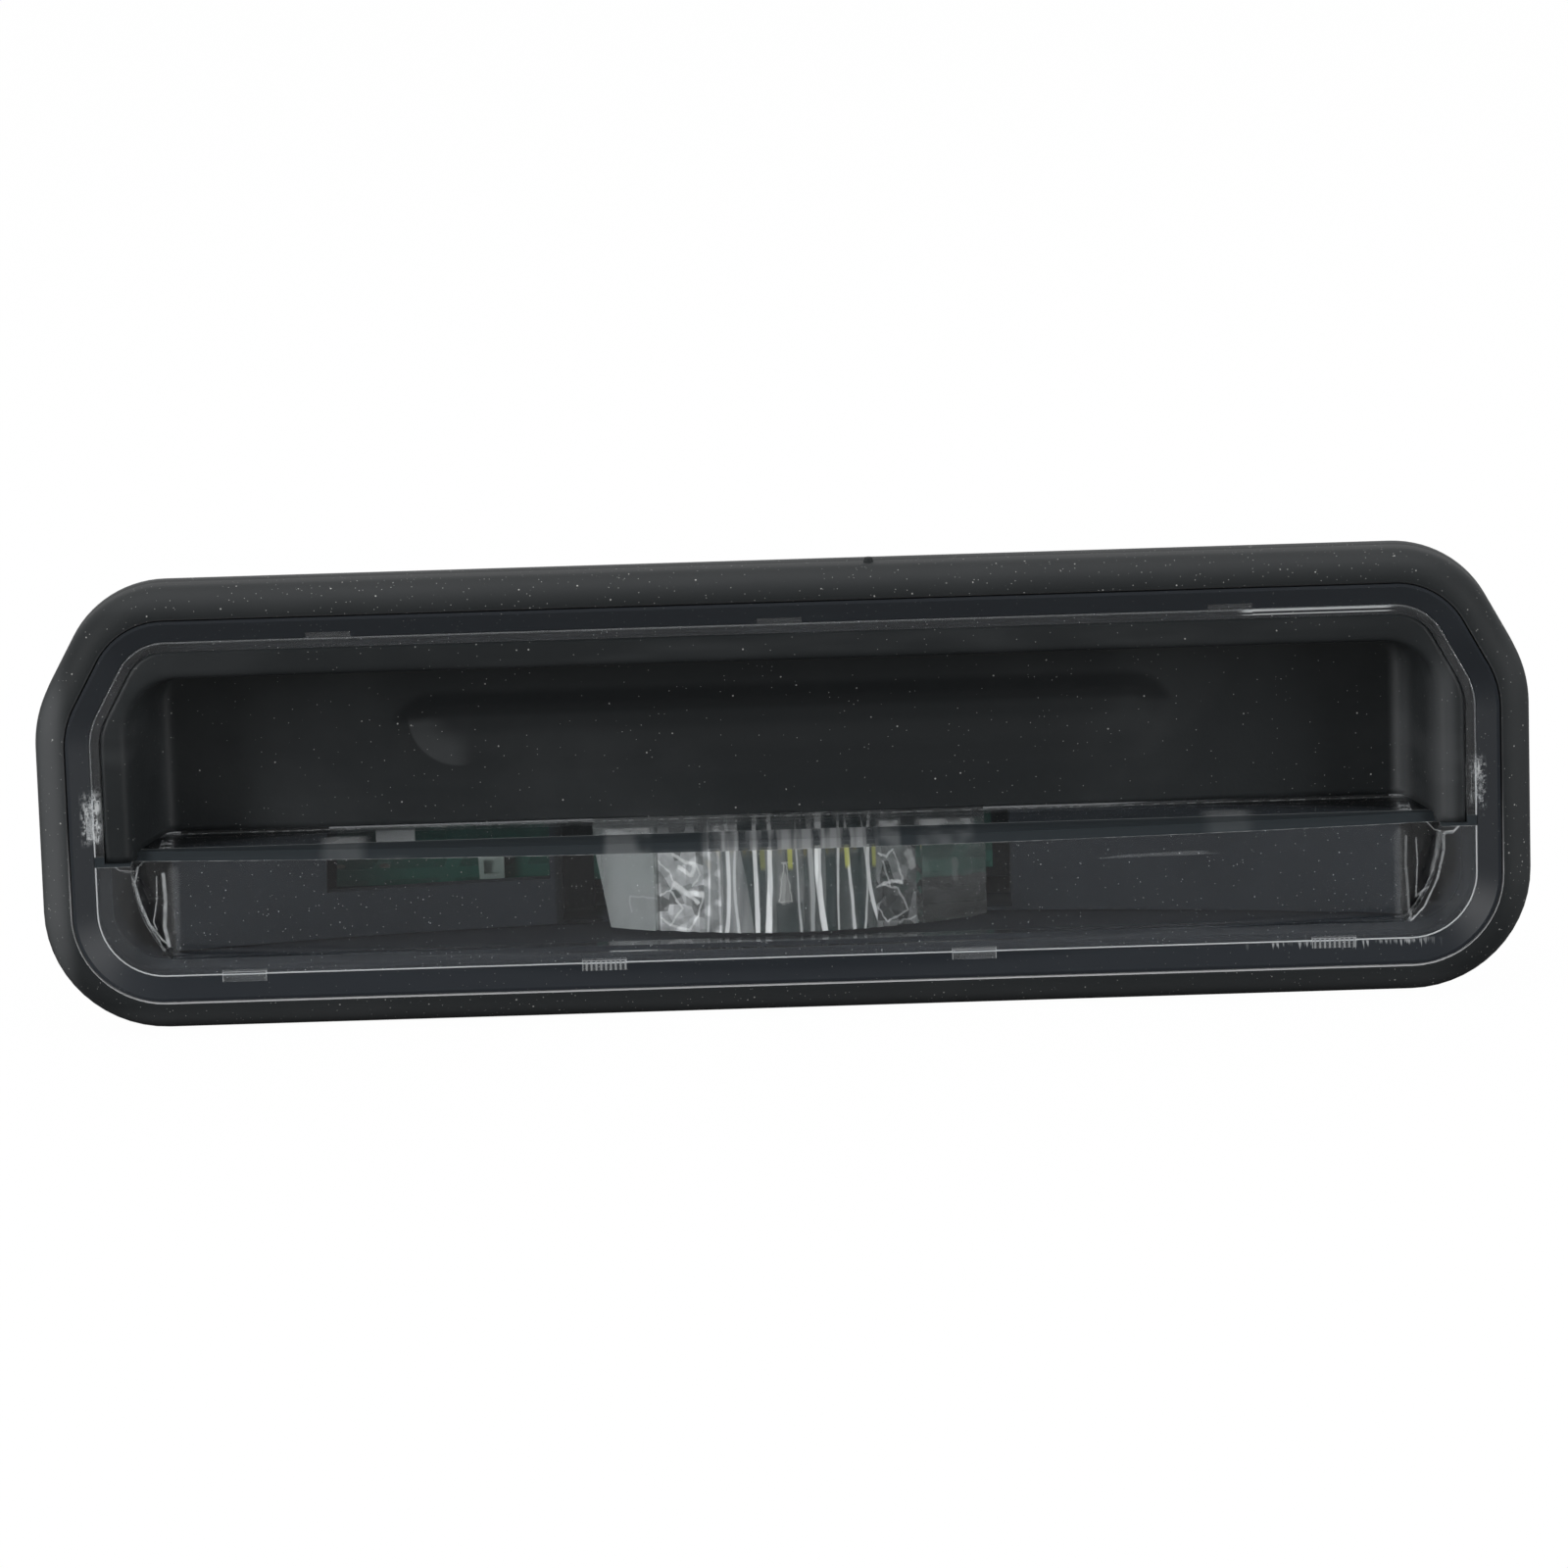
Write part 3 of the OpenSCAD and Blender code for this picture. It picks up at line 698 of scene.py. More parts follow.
@dataclass(frozen=True)
class RubberFinish:
    """Matte black rubber with pale dust and scuffs, painted sheen on the seal's edges, and painted highlights
    and shade on the seal and in the recess.
    """

    part: RubberPart
    base: Colour = (0.0155, 0.0180, 0.0195)
    scuff_and_sheen: Colour = (0.095, 0.100, 0.104)
    dust: Colour = (0.42, 0.42, 0.41)
    rough: float = 0.58
    grain_depth: float = 0.00006
    dark: Colour = (0.003, 0.004, 0.005)
    shaded: Colour = (0.009, 0.011, 0.012)
    fillet_highlight: Colour = (0.55, 0.56, 0.57)
    side_highlights: Bands = ((61.9, 0.35, 0.9, 0.46), (65.4, 0.5, 1.1, 0.44), (-61.9, 0.3, 0.7, 0.1))
    dimple: Pair = (35.0, 4.5)
    crescent_highlight_centre: Pair = (-32.5, 6.2)

    def make(self) -> bpy.types.Material:
        """Builds the material.

        Returns:
            The material.
        """
        t = NodeTree("rubber_" + self.part.value)
        x, y, z = t.axes()
        cloud = t.noise(45.0, 4.0)
        smear = t.grain((25.0, 60.0, 160.0))
        fine = t.noise(2600.0, 2.0)
        colour = t.tint(cloud.step(0.45, 0.8) * 0.16, self.base, self.scuff_and_sheen)
        if self.part is RubberPart.SEAL:
            front = z.step(4.6, 6.6)
            # Painted sheen mixed with scuffing: the outer front edges of the seal, most on its left side, are
            # lifted to a paler tone.
            outer = x.abs().step(70.5, 73.2).most(y.abs().step(19.3, 21.6))
            edge = outer * front * (0.35 + smear * 0.9)
            side = 0.45 + x.step(-60.0, -74.0) * 0.55
            colour = t.tint((edge * side).least(1.0) * 0.7, colour, self.scuff_and_sheen)
            colour = t.tint(x.step(-70.0, -72.6) * front * 0.6, colour, self.scuff_and_sheen)
            shade = (y.step(15.0, 19.0) * 0.5).most(x.step(64.0, 70.0) * 0.3)
            colour = t.tint(shade, colour, self.shaded)
            colour = t.tint(z.step(1.4, 0.2) * 0.25, colour, self.scuff_and_sheen)
            place = t.node("ShaderNodeUVMap", {"uv_map": "along"})
            across = t.node("ShaderNodeSeparateXYZ", values=[place], result="Y")
            # Painted highlight: a pale line along the seal's inner fillet, strongest in the lower half.
            bead = across.band(0.74, 0.05, 0.02) * (0.12 + y.step(0.0, -12.0) * 1.2) * (smear + 0.3)
            colour = t.tint(bead.least(1.0), colour, self.fillet_highlight)
        else:
            wipe = smear.step(0.5, 0.72) * z.step(-6.0, -4.0)
            colour = t.tint(wipe * 0.2, colour, self.scuff_and_sheen)
            # Painted reflections: soft vertical highlight strips on the side walls of the recess.
            painted_highlight = x.bands(self.side_highlights) + x.step(60.5, 62.5) * 0.05
            level = y.band(1.5, 7.0, 4.0) * (smear * 0.5 + 0.75)
            colour = t.tint((painted_highlight * level).least(1.0), colour, self.scuff_and_sheen)
            q = (x.abs() - self.dimple[0]).most(0.0).hypot(y - self.dimple[1])
            pad = z.step(-4.8, -5.2)
            shadow = q.band(2.9, 0.8, 1.0) * y.step(5.2, 6.4) * pad
            colour = t.tint(shadow * 0.5, colour, self.dark)
            # Painted highlight: a pale crescent at the left end of the finger dimple, and a faint lighter
            # band on its floor.
            far = (x - self.crescent_highlight_centre[0]).hypot(y - self.crescent_highlight_centre[1])
            light = far.step(0.6, 3.6) * far.step(5.15, 4.85) * x.step(-30.8, -33.4) * y.step(6.4, 5.4)
            light = light * 0.3 + q.step(3.2, 1.5) * y.step(5.0, 3.8) * 0.05
            colour = t.tint(light * pad, colour, self.scuff_and_sheen)
        share = 0.8 if self.part is RubberPart.SEAL else 0.3
        dots = t.specks(800.0, 0.085, share).most(t.specks(2100.0, 0.12, share) * 0.8)
        colour = t.tint((dots * 1.1).least(1.0), colour, self.dust)
        rough = self.rough + cloud * 0.12 + dots * 0.2
        if self.part is RubberPart.LINER:
            rough = rough - 0.16
        normal = t.bump(fine * 0.5 + t.noise(700.0, 3.0) * 0.6, 0.5, self.grain_depth)
        gloss = {"IOR": 1.5, "Specular_IOR_Level": 0.26}
        return t.finish(t.principled(Base_Color=colour, Roughness=rough, Normal=normal, **gloss))


@dataclass(frozen=True)
class HousingFinish:
    """Black moulded plastic: glossy on the rim in front, fine-grained on the box behind."""

    base: Colour = (0.0150, 0.0185, 0.0235)
    worn: Colour = (0.06, 0.066, 0.074)
    scratched: Colour = (0.5, 0.52, 0.53)
    dust: Colour = (0.28, 0.28, 0.27)

    def make(self) -> bpy.types.Material:
        """Builds the material.

        Returns:
            The material.
        """
        t = NodeTree("housing_plastic")
        x, y, z = t.axes()
        front = z.step(1.5, 2.5)
        cloud = t.noise(38.0, 4.0)
        grain = t.noise(1500.0, 2.0)
        lines = t.grain((40.0, 260.0, 900.0), 4.0)
        scratch = lines.step(0.66, 0.74) * front
        dots = t.dust(0.6, 0.5)
        # Painted sheen: the rim's front is lifted to a paler tone at its left end and along its top.
        sheen = (x.step(-60.0, -68.0) * 0.22).most(y.step(12.0, 17.0) * 0.16) * front
        colour = t.tint((scratch * 0.35).most(sheen), self.base, self.worn)
        colour = t.tint(dots * 0.7, colour, self.dust)
        comb = t.grain((3600.0, 260.0, 100.0), 2.0)
        deep = (comb + (y + 17.0) * 0.3).step(0.46, 0.56) * comb.step(0.5, 0.6).most(0.4)
        ticks = deep * x.band(55.0, 6.5, 4.0) * y.band(-17.4, 0.5, 0.2) * z.step(5.0, 5.5) * 0.7
        marks = (ticks * 0.8).most(t.worn(x, y) * front).least(1.0)
        colour = t.tint(marks, colour, self.scratched)
        rough = 0.46 - front * 0.08 + cloud * 0.1 + scratch * 0.2 + dots * 0.3
        normal = t.bump(grain * (1 - front) + cloud * 0.3, 0.35, 0.00008)
        return t.finish(
            t.principled(Base_Color=colour, Roughness=rough, Normal=normal, Specular_IOR_Level=0.28)
        )


class Zone(Enum):
    """The zones beside the light guide's flutes, as (from, to) along the unit in mm."""

    FROSTED = (-21.0, -12.9)
    LEFT_FACETS = (-12.9, -8.3)
    RIGHT_FACETS = (8.9, 12.9)


@dataclass(frozen=True)
class CoverFinish:
    """Clear moulded plastic with dust, fine scratches and frosted wear where the photo has it, and painted
    glints, reflections, highlights and shade.
    """

    edge: bool = False
    tint_colour: Colour = (0.93, 0.95, 0.97)
    frost_and_glint: Colour = (0.55, 0.57, 0.58)
    painted_face_shade: Colour = (0.029, 0.036, 0.041)
    # Painted glints on the curved clear end walls, each as (half width, level, points).
    end_glints: tuple[tuple[float, float, tuple[Pair, ...]], ...] = (
        (0.07, 0.7, ((-64.5, -6.3), (-64.9, -7.9), (-64.4, -9.9), (-63.6, -12.0), (-62.4, -13.6),
                     (-61.8, -14.1))),
        (0.16, 0.9, ((-62.0, -7.1), (-61.9, -9.7), (-62.1, -12.3), (-61.75, -14.2))),
        (0.05, 0.7, ((-62.7, -7.3), (-62.8, -9.7), (-63.2, -11.8), (-62.9, -12.6))),
        (0.08, 0.9, ((-62.3, -3.4), (-61.9, -3.9), (-62.0, -4.7))),
        (0.03, 0.5, ((-67.0, -5.8), (-66.2, -6.5), (-64.8, -6.7), (-64.0, -5.8), (-62.9, -5.2))),
        (0.10, 0.5, ((61.7, -7.1), (61.6, -9.7), (61.8, -12.3), (61.9, -15.3))),
        (0.06, 0.7, ((65.3, -6.8), (65.3, -8.6), (64.65, -11.3), (63.3, -14.1), (62.0, -15.4))),
        (0.05, 0.7, ((62.7, -7.3), (62.8, -9.7), (62.6, -13.1), (63.7, -12.2))),
        (0.10, 0.4, ((64.9, -6.9), (64.65, -8.9), (64.1, -10.7))),
        (0.04, 0.6, ((61.4, -4.85), (62.8, -5.1), (63.9, -5.8), (64.5, -6.5), (65.4, -6.8))),
        (0.07, 0.9, ((65.4, -6.75), (66.3, -6.7), (67.0, -6.0))),
        (0.60, 0.10, ((61.2, -6.9), (61.2, -14.6))),
        (0.50, 0.10, ((-61.0, -6.9), (-61.2, -14.6))),
    )
    shines: Bands = (
        (-15.7, 1.8, 0.9, 1.0),
        (10.3, 0.7, 0.6, 1.0),
        (15.9, 2.2, 1.0, 1.0),
        (44.0, 1.2, 1.8, 0.35),
        (-6.1, 0.9, 0.5, 1.0),
        (-44.0, 1.2, 1.6, 0.6),
    )
    tabs: tuple[tuple[float, bool], ...] = ((-54.2, False), (-18.4, True), (18.4, False), (54.2, True))

    def make(self) -> bpy.types.Material:
        """Builds the material.

        Returns:
            The material.
        """
        t = NodeTree("clear_edge" if self.edge else "clear_cover")
        x, y, z = t.axes()
        surface, rough, haze_and_glints, shade = self._wear(t, x, y, z)
        if self.edge:
            # Painted highlight: the outer edge is frosted pale, most along its lower half.
            rim = z.step(5.0, 5.5) * (0.05 + y.step(2.0, -1.5) * 0.85)
            broken = t.noise(160.0, 3.0)
            haze_and_glints = haze_and_glints + (rim + 0.03) * (broken + 0.4)
        glass = t.principled(
            Base_Color=self.tint_colour,
            Roughness=rough,
            IOR=1.49,
            Transmission_Weight=1.0,
            Normal=t.bump(surface, 0.2, 0.00008),
        )
        frost_and_glint = t.tint(shade, self.frost_and_glint, self.painted_face_shade)
        matt = t.principled(Base_Color=frost_and_glint, Roughness=0.75, Specular_IOR_Level=0.12)
        mixed = t.node("ShaderNodeMixShader", values={0: haze_and_glints.least(1.0), 1: glass, 2: matt})
        return t.finish(t.seen_through(mixed))

    def _wear(self, t: NodeTree, x: Socket, y: Socket, z: Socket) -> tuple[Socket, Socket, Socket, Socket]:
        """Height, roughness and frosting of the cover, with its painted glints, reflections, highlights and
        shade.

        Returns:
            Height, roughness, frosting mask with its painted glints, reflections and highlights, and the
            share of it that is painted shade.
        """
        ripple = t.noise(70.0, 2.0)
        dots = t.dust(0.55, 0.6)
        streak = t.grain((30.0, 400.0, 1100.0), 4.0).step(0.68, 0.76)
        ragged = t.noise(900.0, 3.0)
        lines = y.band(16.75, 0.07, 0.06) + y.band(16.35, 0.03, 0.05)
        glare = x.band(53.0, 6.5, 1.5) * lines * z.step(5.0, 5.5)
        cloudy = t.grain((220.0, 120.0, 200.0), 2.0)
        # Painted reflections of the lamps: soft pale patches on the shelf.
        shine = x.bands(self.shines)
        deck = y.band(-4.6, 0.3, 0.1)
        shelf = shine * z.band(1.6, 1.4, 1.4) * deck * cloudy.step(0.3, 0.55)
        back = z.band(-4.2, 0.15, 0.2) * deck * (ragged.step(0.35, 0.6) * 0.3 + 0.12)
        face = y.band(-5.08, 0.52, 0.04) * z.step(2.1, 2.6)
        ahead = z.step(1.2, 2.2)
        foot = y.band(-5.62, 0.02, 0.05) * ahead * (ragged.step(0.4, 0.6) * 0.3 + 0.06)
        stripes = t.grain((760.0, 20.0, 20.0), 2.0).step(0.42, 0.6)
        middle = x.band(0.4, 8.0, 1.0)
        comb = (x * 13.0).wave().step(-0.2, 0.5)
        v_place = t.flat(0.12)
        # Painted glints along the curved clear end walls of the cover.
        end_glint: Socket | None = None
        for half, level, line in self.end_glints:
            mark = t.stroke(v_place, line, half * 0.6, half + 0.03) * level
            end_glint = mark if end_glint is None else end_glint.most(mark)
        tab: Socket | None = None
        for centre, combed in self.tabs:
            wide = x.band(centre, 2.2, 0.04) * y.band(-17.15, 0.62, 0.04)
            inner = x.band(centre, 2.1, 0.04) * y.band(-17.15, 0.52, 0.04)
            fill = comb * 0.35 if combed else 0.05
            mark = (wide - inner) * 0.5 + inner * fill
            tab = mark if tab is None else tab.most(mark)
        # Painted shade: the shelf's front face is a dark matt band, with paler stripes across the middle
        # standing for the flutes behind it.
        painted_face_shade = face * (1 - middle * (stripes * 0.45 + 0.05))
        painted_face_shade = painted_face_shade * (1 - shine.least(1.0) * cloudy.step(0.35, 0.6) * 0.16)
        ring = z.step(4.6, 5.2) * x.abs().step(64.5, 65.5).most(y.abs().step(15.2, 15.8))
        haze_and_glints = (
            dots * 0.6
            + streak * z.step(2.5, 3.5) * 0.12
            + t.worn(x, y) * 0.9
            + shelf * 0.62
            + face * (0.93 - middle * 0.2)
            + foot
            + back
            + glare * 0.85
            + end_glint * ahead * (ragged * 0.9 + 0.12)
            + tab * z.step(4.8, 5.4)
            + ring * 0.025
        )
        rough = 0.03 + streak * 0.08 + dots * 0.3
        return ripple, rough, haze_and_glints, painted_face_shade


@dataclass(frozen=True)
class GuideFinish:
    """Clear plastic that carries light: frosted at the left, flutes streaked with painted highlights and
    shade, cut facets beside them in painted light and shade, and a painted glint.
    """

    clear: Colour = (0.93, 0.96, 0.95)
    frosted: Colour = (0.27, 0.29, 0.286)
    grey: Colour = (0.15, 0.158, 0.156)
    painted_highlight: Colour = (0.86, 0.87, 0.86)
    dark: Colour = (0.018, 0.030, 0.031)
    yellow: Colour = (0.42, 0.43, 0.10)
    deep: Colour = (0.055, 0.064, 0.064)
    milky_and_lit: Colour = (0.31, 0.32, 0.32)
    shaded: Colour = (0.02, 0.03, 0.03)
    glint: Colour = (0.5, 0.5, 0.48)
    frosted_low: Colour = (0.20, 0.215, 0.215)
    ghost: Colour = (0.55, 0.56, 0.56)
    seam: Colour = (0.07, 0.075, 0.075)
    facet_low: Colour = (0.02, 0.024, 0.025)
    facet_mid: Colour = (0.12, 0.125, 0.125)
    facet_high: Colour = (0.48, 0.49, 0.49)
    middle_v: float = -9.78
    half_v: float = 5.1
    # Painted highlight streaks on the flutes, each as (top, middle, foot, half width at top, half width at
    # foot, level).
    streak_highlights: tuple[tuple[float, ...], ...] = (
        (-3.14, -3.10, -3.04, 0.15, 0.19, 1.0), (-1.66, -1.70, -1.92, 0.13, 0.27, 1.0),
        (3.26, 3.14, 3.65, 0.26, 0.22, 1.0), (-6.08, -5.76, -6.14, 0.12, 0.15, 0.8),
        (5.28, 5.12, 5.06, 0.08, 0.03, 0.7), (5.95, 6.27, 6.56, 0.06, 0.12, 0.8),
        (8.38, 8.16, 9.28, 0.10, 0.14, 0.8), (2.24, 2.50, 2.43, 0.20, 0.16, 0.35),
        (7.52, 8.00, 7.68, 0.03, 0.05, 0.6), (0.96, 1.06, 1.28, 0.03, 0.06, 0.4),
        (-7.80, -7.70, -8.00, 0.05, 0.05, 0.5), (-6.90, -6.75, -6.80, 0.10, 0.04, 0.4),
        (-4.90, -5.20, -4.90, 0.05, 0.10, 0.45),
    )
    shadows: tuple[tuple[float, ...], ...] = (
        (-4.30, -3.62, -3.34, 0.70, 0.06, 0.9), (-2.50, -2.40, -2.50, 0.24, 0.20, 0.6),
        (4.38, 4.38, 4.29, 0.50, 0.46, 0.9), (7.20, 7.04, 7.52, 0.42, 0.36, 0.85),
        (1.76, 1.92, 1.76, 0.16, 0.20, 0.6), (-6.45, -6.20, -6.50, 0.10, 0.08, 0.35),
    )
    yellow_spots: tuple[Pair, ...] = ((-2.35, 0.35), (0.35, 1.0), (6.05, 1.0), (8.75, 0.65))
    # Painted highlights along the cuts of the left facets, each as (half width, level, points).
    left_cut_highlights: tuple[tuple[float, float, tuple[Pair, ...]], ...] = (
        (0.13, 0.9, ((-11.2, -6.6), (-10.24, -7.24), (-9.12, -7.56), (-9.44, -8.68), (-10.72, -7.88))),
        (0.24, 1.0, ((-11.2, -9.58), (-10.08, -10.44), (-8.32, -10.66))),
        (0.14, 0.9, ((-10.08, -10.44), (-8.96, -11.4))),
        (0.04, 0.7, ((-12.64, -10.6), (-11.68, -10.06), (-11.2, -9.48), (-11.68, -8.36), (-12.8, -7.08))),
        (0.05, 0.7, ((-11.68, -10.06), (-10.5, -11.88), (-11.78, -13.64), (-12.64, -12.84))),
        (0.05, 0.6, ((-8.32, -10.6), (-8.96, -12.84), (-9.92, -14.12), (-11.78, -13.64))),
        (0.04, 0.6, ((-9.12, -7.4), (-8.64, -8.68), (-9.44, -9.8))),
    )
    # Painted highlights along the cuts of the right facets, each as (half width, level, points).
    right_cut_highlights: tuple[tuple[float, float, tuple[Pair, ...]], ...] = (
        (0.07, 0.9, ((9.28, -7.08), (9.92, -7.4), (10.56, -6.7))),
        (0.04, 0.7, ((10.72, -6.92), (11.58, -9.64), (11.36, -10.02), (10.4, -9.8))),
        (0.12, 1.0, ((9.6, -10.12), (10.4, -9.8), (11.36, -10.02))),
        (0.05, 0.7, ((8.38, -10.6), (9.6, -10.18), (11.04, -10.6), (12.0, -12.84), (9.92, -13.96),
                     (8.48, -11.56))),
        (0.05, 0.7, ((9.6, -7.88), (10.24, -10.28))),
        (0.30, 0.5, ((12.16, -7.08), (12.48, -8.36))),
        (0.04, 0.6, ((11.04, -13.96), (12.8, -13.48))),
    )
    flame: tuple[Pair, ...] = (
        (-0.32, -7.88), (-0.8, -11.56), (0.48, -11.56), (-0.06, -7.88), (-0.48, -7.72), (0.58, -7.78)
    )

    def make(self) -> bpy.types.Material:
        """Builds the material.

        Each streak lies at x = m + (a - c) u / 2 + ((a + c) / 2 - m) u^2, where u runs from one at
        the top to minus one at the foot and a, m, c are its places at top, middle and foot.

        Returns:
            The material.
        """
        t = NodeTree("clear_guide")
        x, y, z = t.axes()
        rough_line = t.grain((700.0, 60.0, 230.0))
        along = x + (rough_line - 0.5) * 0.3
        broad = t.grain((520.0, 60.0, 80.0))
        u = ((y * SEEN_Y - z * SEEN_Z - self.middle_v) / self.half_v).least(1.2).most(-1.2)
        place = t.flat(0.55)
        colour = t.tint(broad.step(0.35, 0.65), self.deep, self.grey)
        # Partly painted light: left of the flutes the guide is paler, as if lit from the left; right of them
        # it is darkened with painted shade.
        colour = t.tint(x.step(-3.4, -5.0) * (broad.step(0.3, 0.6) * 0.5 + 0.4), colour, self.milky_and_lit)
        colour = t.tint(x.step(3.6, 4.4) * 0.6, colour, self.shaded)
        # Painted glint: a flame-shaped bright mark in the middle, with a patch of painted shade below it.
        flame = t.stroke(place, ((-0.2, -9.2), (-0.15, -11.3)), 0.25, 0.5) * 0.35
        flame = flame.most(t.stroke(place, self.flame, 0.03, 0.08) * 0.6)
        low = x.band(0.2, 1.2, 0.25) * u.step(-0.42, -0.5)
        colour = t.tint(low * 0.7, colour, self.dark)
        # Painted light: the dark streaks are painted shade and the bright ones painted highlights, where the
        # flutes bend the light.
        for lines, tone in ((self.shadows, self.dark), (self.streak_highlights, self.painted_highlight)):
            for top, mid, foot, half_top, half_foot, level in lines:
                centre = u * ((top - foot) / 2) + u * u * ((top + foot) / 2 - mid) + mid
                wide = u * ((half_top - half_foot) / 2) + (half_top + half_foot) / 2
                mark = ((along - centre).abs() - wide).step(0.12, -0.02)
                colour = t.tint(mark * level * (broad + 0.5).least(1.0), colour, tone)
        colour = t.tint(flame, colour, self.glint)
        for centre, level in self.yellow_spots:
            spot = along.band(centre, 0.16, 0.14) * u.band(0.42, 0.16, 0.12) * z.step(0.0, 0.5)
            colour = t.tint(spot * (level * 0.9), colour, self.yellow)
        facets = self._facets(t, x, place)
        cut = x.step(Zone.LEFT_FACETS.value[1] + 0.1, Zone.LEFT_FACETS.value[1] - 0.1)
        cut = cut + x.step(Zone.RIGHT_FACETS.value[0] - 0.1, Zone.RIGHT_FACETS.value[0] + 0.1)
        colour = t.tint(cut, colour, facets)
        left = x.step(Zone.FROSTED.value[1] + 0.08, Zone.FROSTED.value[1] - 0.08)
        panel = t.grain((260.0, 60.0, 160.0), 2.0).step(0.42, 0.6)
        frosted = t.tint(panel * 0.55, self.frosted, self.frosted_low)
        ghost = t.stroke(place, ((-15.7, -12.2), (-15.7, -10.6), (-12.96, -10.9)), 0.02, 0.12) * 0.35
        frosted = t.tint(ghost, frosted, self.ghost)
        edge = x.band(Zone.FROSTED.value[1], 0.06, 0.08)
        colour = t.tint(left, colour, frosted)
        colour = t.tint(edge * 0.8, colour, self.seam)
        clear = x.step(Zone.RIGHT_FACETS.value[1] - 0.1, Zone.RIGHT_FACETS.value[1] + 0.1)
        streak = t.grain((520.0, 60.0, 90.0)).step(0.55, 0.75)
        pale = t.stroke(place, ((16.8, -8.0), (16.8, -9.8)), 0.15, 0.3).most(
            t.stroke(place, ((13.4, -10.9), (14.4, -10.65), (16.0, -10.9)), 0.02, 0.1)
        )
        fog = (0.86 - left * 0.06 - cut * 0.08) * (1 - clear) + clear * (0.02 + streak * 0.10 + pale * 0.35)
        near = z.step(-3.5, -1.0)
        fog = fog * near + (1 - near) * 0.25
        normal = t.bump(t.noise(420.0, 3.0), 0.3, 0.00025)
        glass = t.principled(
            Base_Color=self.clear,
            Roughness=0.06 + left * 0.2,
            IOR=1.49,
            Transmission_Weight=1.0,
            Normal=normal,
        )
        lit = t.principled(Base_Color=colour, Roughness=0.22 + left * 0.25, Normal=normal)
        return t.finish(t.seen_through(t.node("ShaderNodeMixShader", values={0: fog, 1: glass, 2: lit})))

    def _facets(self, t: NodeTree, x: Socket, place: Socket) -> Socket:
        """Painted light and shade of the cut facets: one grey for each cell, as if each facet caught the
        light its own way, with painted highlights drawn along the cuts.

        Returns:
            The colour.
        """
        turned = t.node(
            "ShaderNodeMapping",
            values={"Vector": t.place(), "Rotation": (0.0, 0.6, 0.0), "Scale": (1.0, 0.15, 0.8)},
        )
        shade = t.lot(560.0, 0.8, turned)
        soft = t.noise(700.0, 2.0)
        colour = t.tint((shade * 0.6 + soft * 0.5).step(0.2, 0.9), self.facet_mid, self.facet_high)
        right = t.tint(shade.step(0.3, 0.8), self.facet_low, self.facet_mid)
        colour = t.tint(x.step(6.0, 9.0) * 0.85, colour, right)
        grit = (t.noise(1500.0, 3.0) + 0.35).least(1.0)
        for cut_highlights, share in ((self.left_cut_highlights, 1.0), (self.right_cut_highlights, 0.6)):
            for half, level, line in cut_highlights:
                mark = t.stroke(place, line, half * 0.7, half * 0.7 + 0.08) * (level * share)
                colour = t.tint(mark * grit, colour, self.painted_highlight)
        return colour


@dataclass(frozen=True)
class PlasticFinish:
    """Plain moulded plastic with a faint grain, uneven gloss and, where asked, a band of painted shade."""

    name: str
    base: Colour
    other: Colour
    rough: float = 0.45
    grain: float = 1400.0
    depth: float = 0.00006
    mottle: float = 90.0
    gloss: float = 0.4
    dark: Colour = (0.003, 0.004, 0.005)
    dust: Colour = (0.3, 0.3, 0.29)
    painted_shade_x: Pair | None = None

    def make(self) -> bpy.types.Material:
        """Builds the material.

        Returns:
            The material.
        """
        t = NodeTree(self.name)
        cloud = t.noise(self.mottle, 4.0)
        colour = t.tint(cloud.step(0.35, 0.75), self.base, self.other)
        # Painted shade: a near-black band along x, used on the bezel in the pocket beside the guide's left
        # end.
        if self.painted_shade_x is not None:
            x, _, _ = t.axes()
            colour = t.tint(x.band(*self.painted_shade_x, 0.4) * 0.95, colour, self.dark)
        dots = t.specks(2100.0, 0.11, 0.5)
        colour = t.tint(dots * 0.5, colour, self.dust)
        return t.finish(
            t.principled(
                Base_Color=colour,
                Roughness=self.rough + cloud * 0.14 - 0.07 + dots * 0.2,
                Specular_IOR_Level=self.gloss,
                Normal=t.bump(t.noise(self.grain, 2.0), 0.3, self.depth),
            )
        )


@dataclass(frozen=True)
class BoardFinish:
    """Green lacquered circuit board with covered tracks and bare pads."""

    mask: Colour = (0.006, 0.060, 0.045)
    track: Colour = (0.010, 0.088, 0.064)
    pad: Colour = (0.35, 0.34, 0.30)
    edge: Colour = (0.16, 0.20, 0.11)
    shaded: Colour = (0.010, 0.018, 0.020)

    def make(self) -> bpy.types.Material:
        """Builds the material.

        Returns:
            The material.
        """
        t = NodeTree("board_lacquer")
        x, y, z = t.axes()
        row = ((y * 2.1).wave() * 0.5 + 0.5).step(0.62, 0.72)
        column = ((x * 0.9 + (y * 0.35).wave() * 1.4).wave() * 0.5 + 0.5).step(0.86, 0.91)
        tracks = row.most(column)
        colour = t.tint(tracks, self.mask, self.track)
        via = t.cells(170.0, 0.35, t.stretched((1.0, 0.0, 2.2))).step(0.11, 0.07)
        colour = t.tint(via, colour, self.pad)
        colour = t.tint(x.step(-36.0, -45.0) * 0.75, colour, self.shaded)
        rim = z.band(-13.8, 0.74, 0.03)
        colour = t.tint(rim, colour, self.edge)
        rough = 0.28 + via * 0.1 + rim * 0.4 + t.noise(300.0) * 0.08
        return t.finish(
            t.principled(
                Base_Color=colour,
                Metallic=via * (1 - rim),
                Roughness=rough,
                Normal=t.bump(tracks.most(via), 0.4, 0.00005),
            )
        )


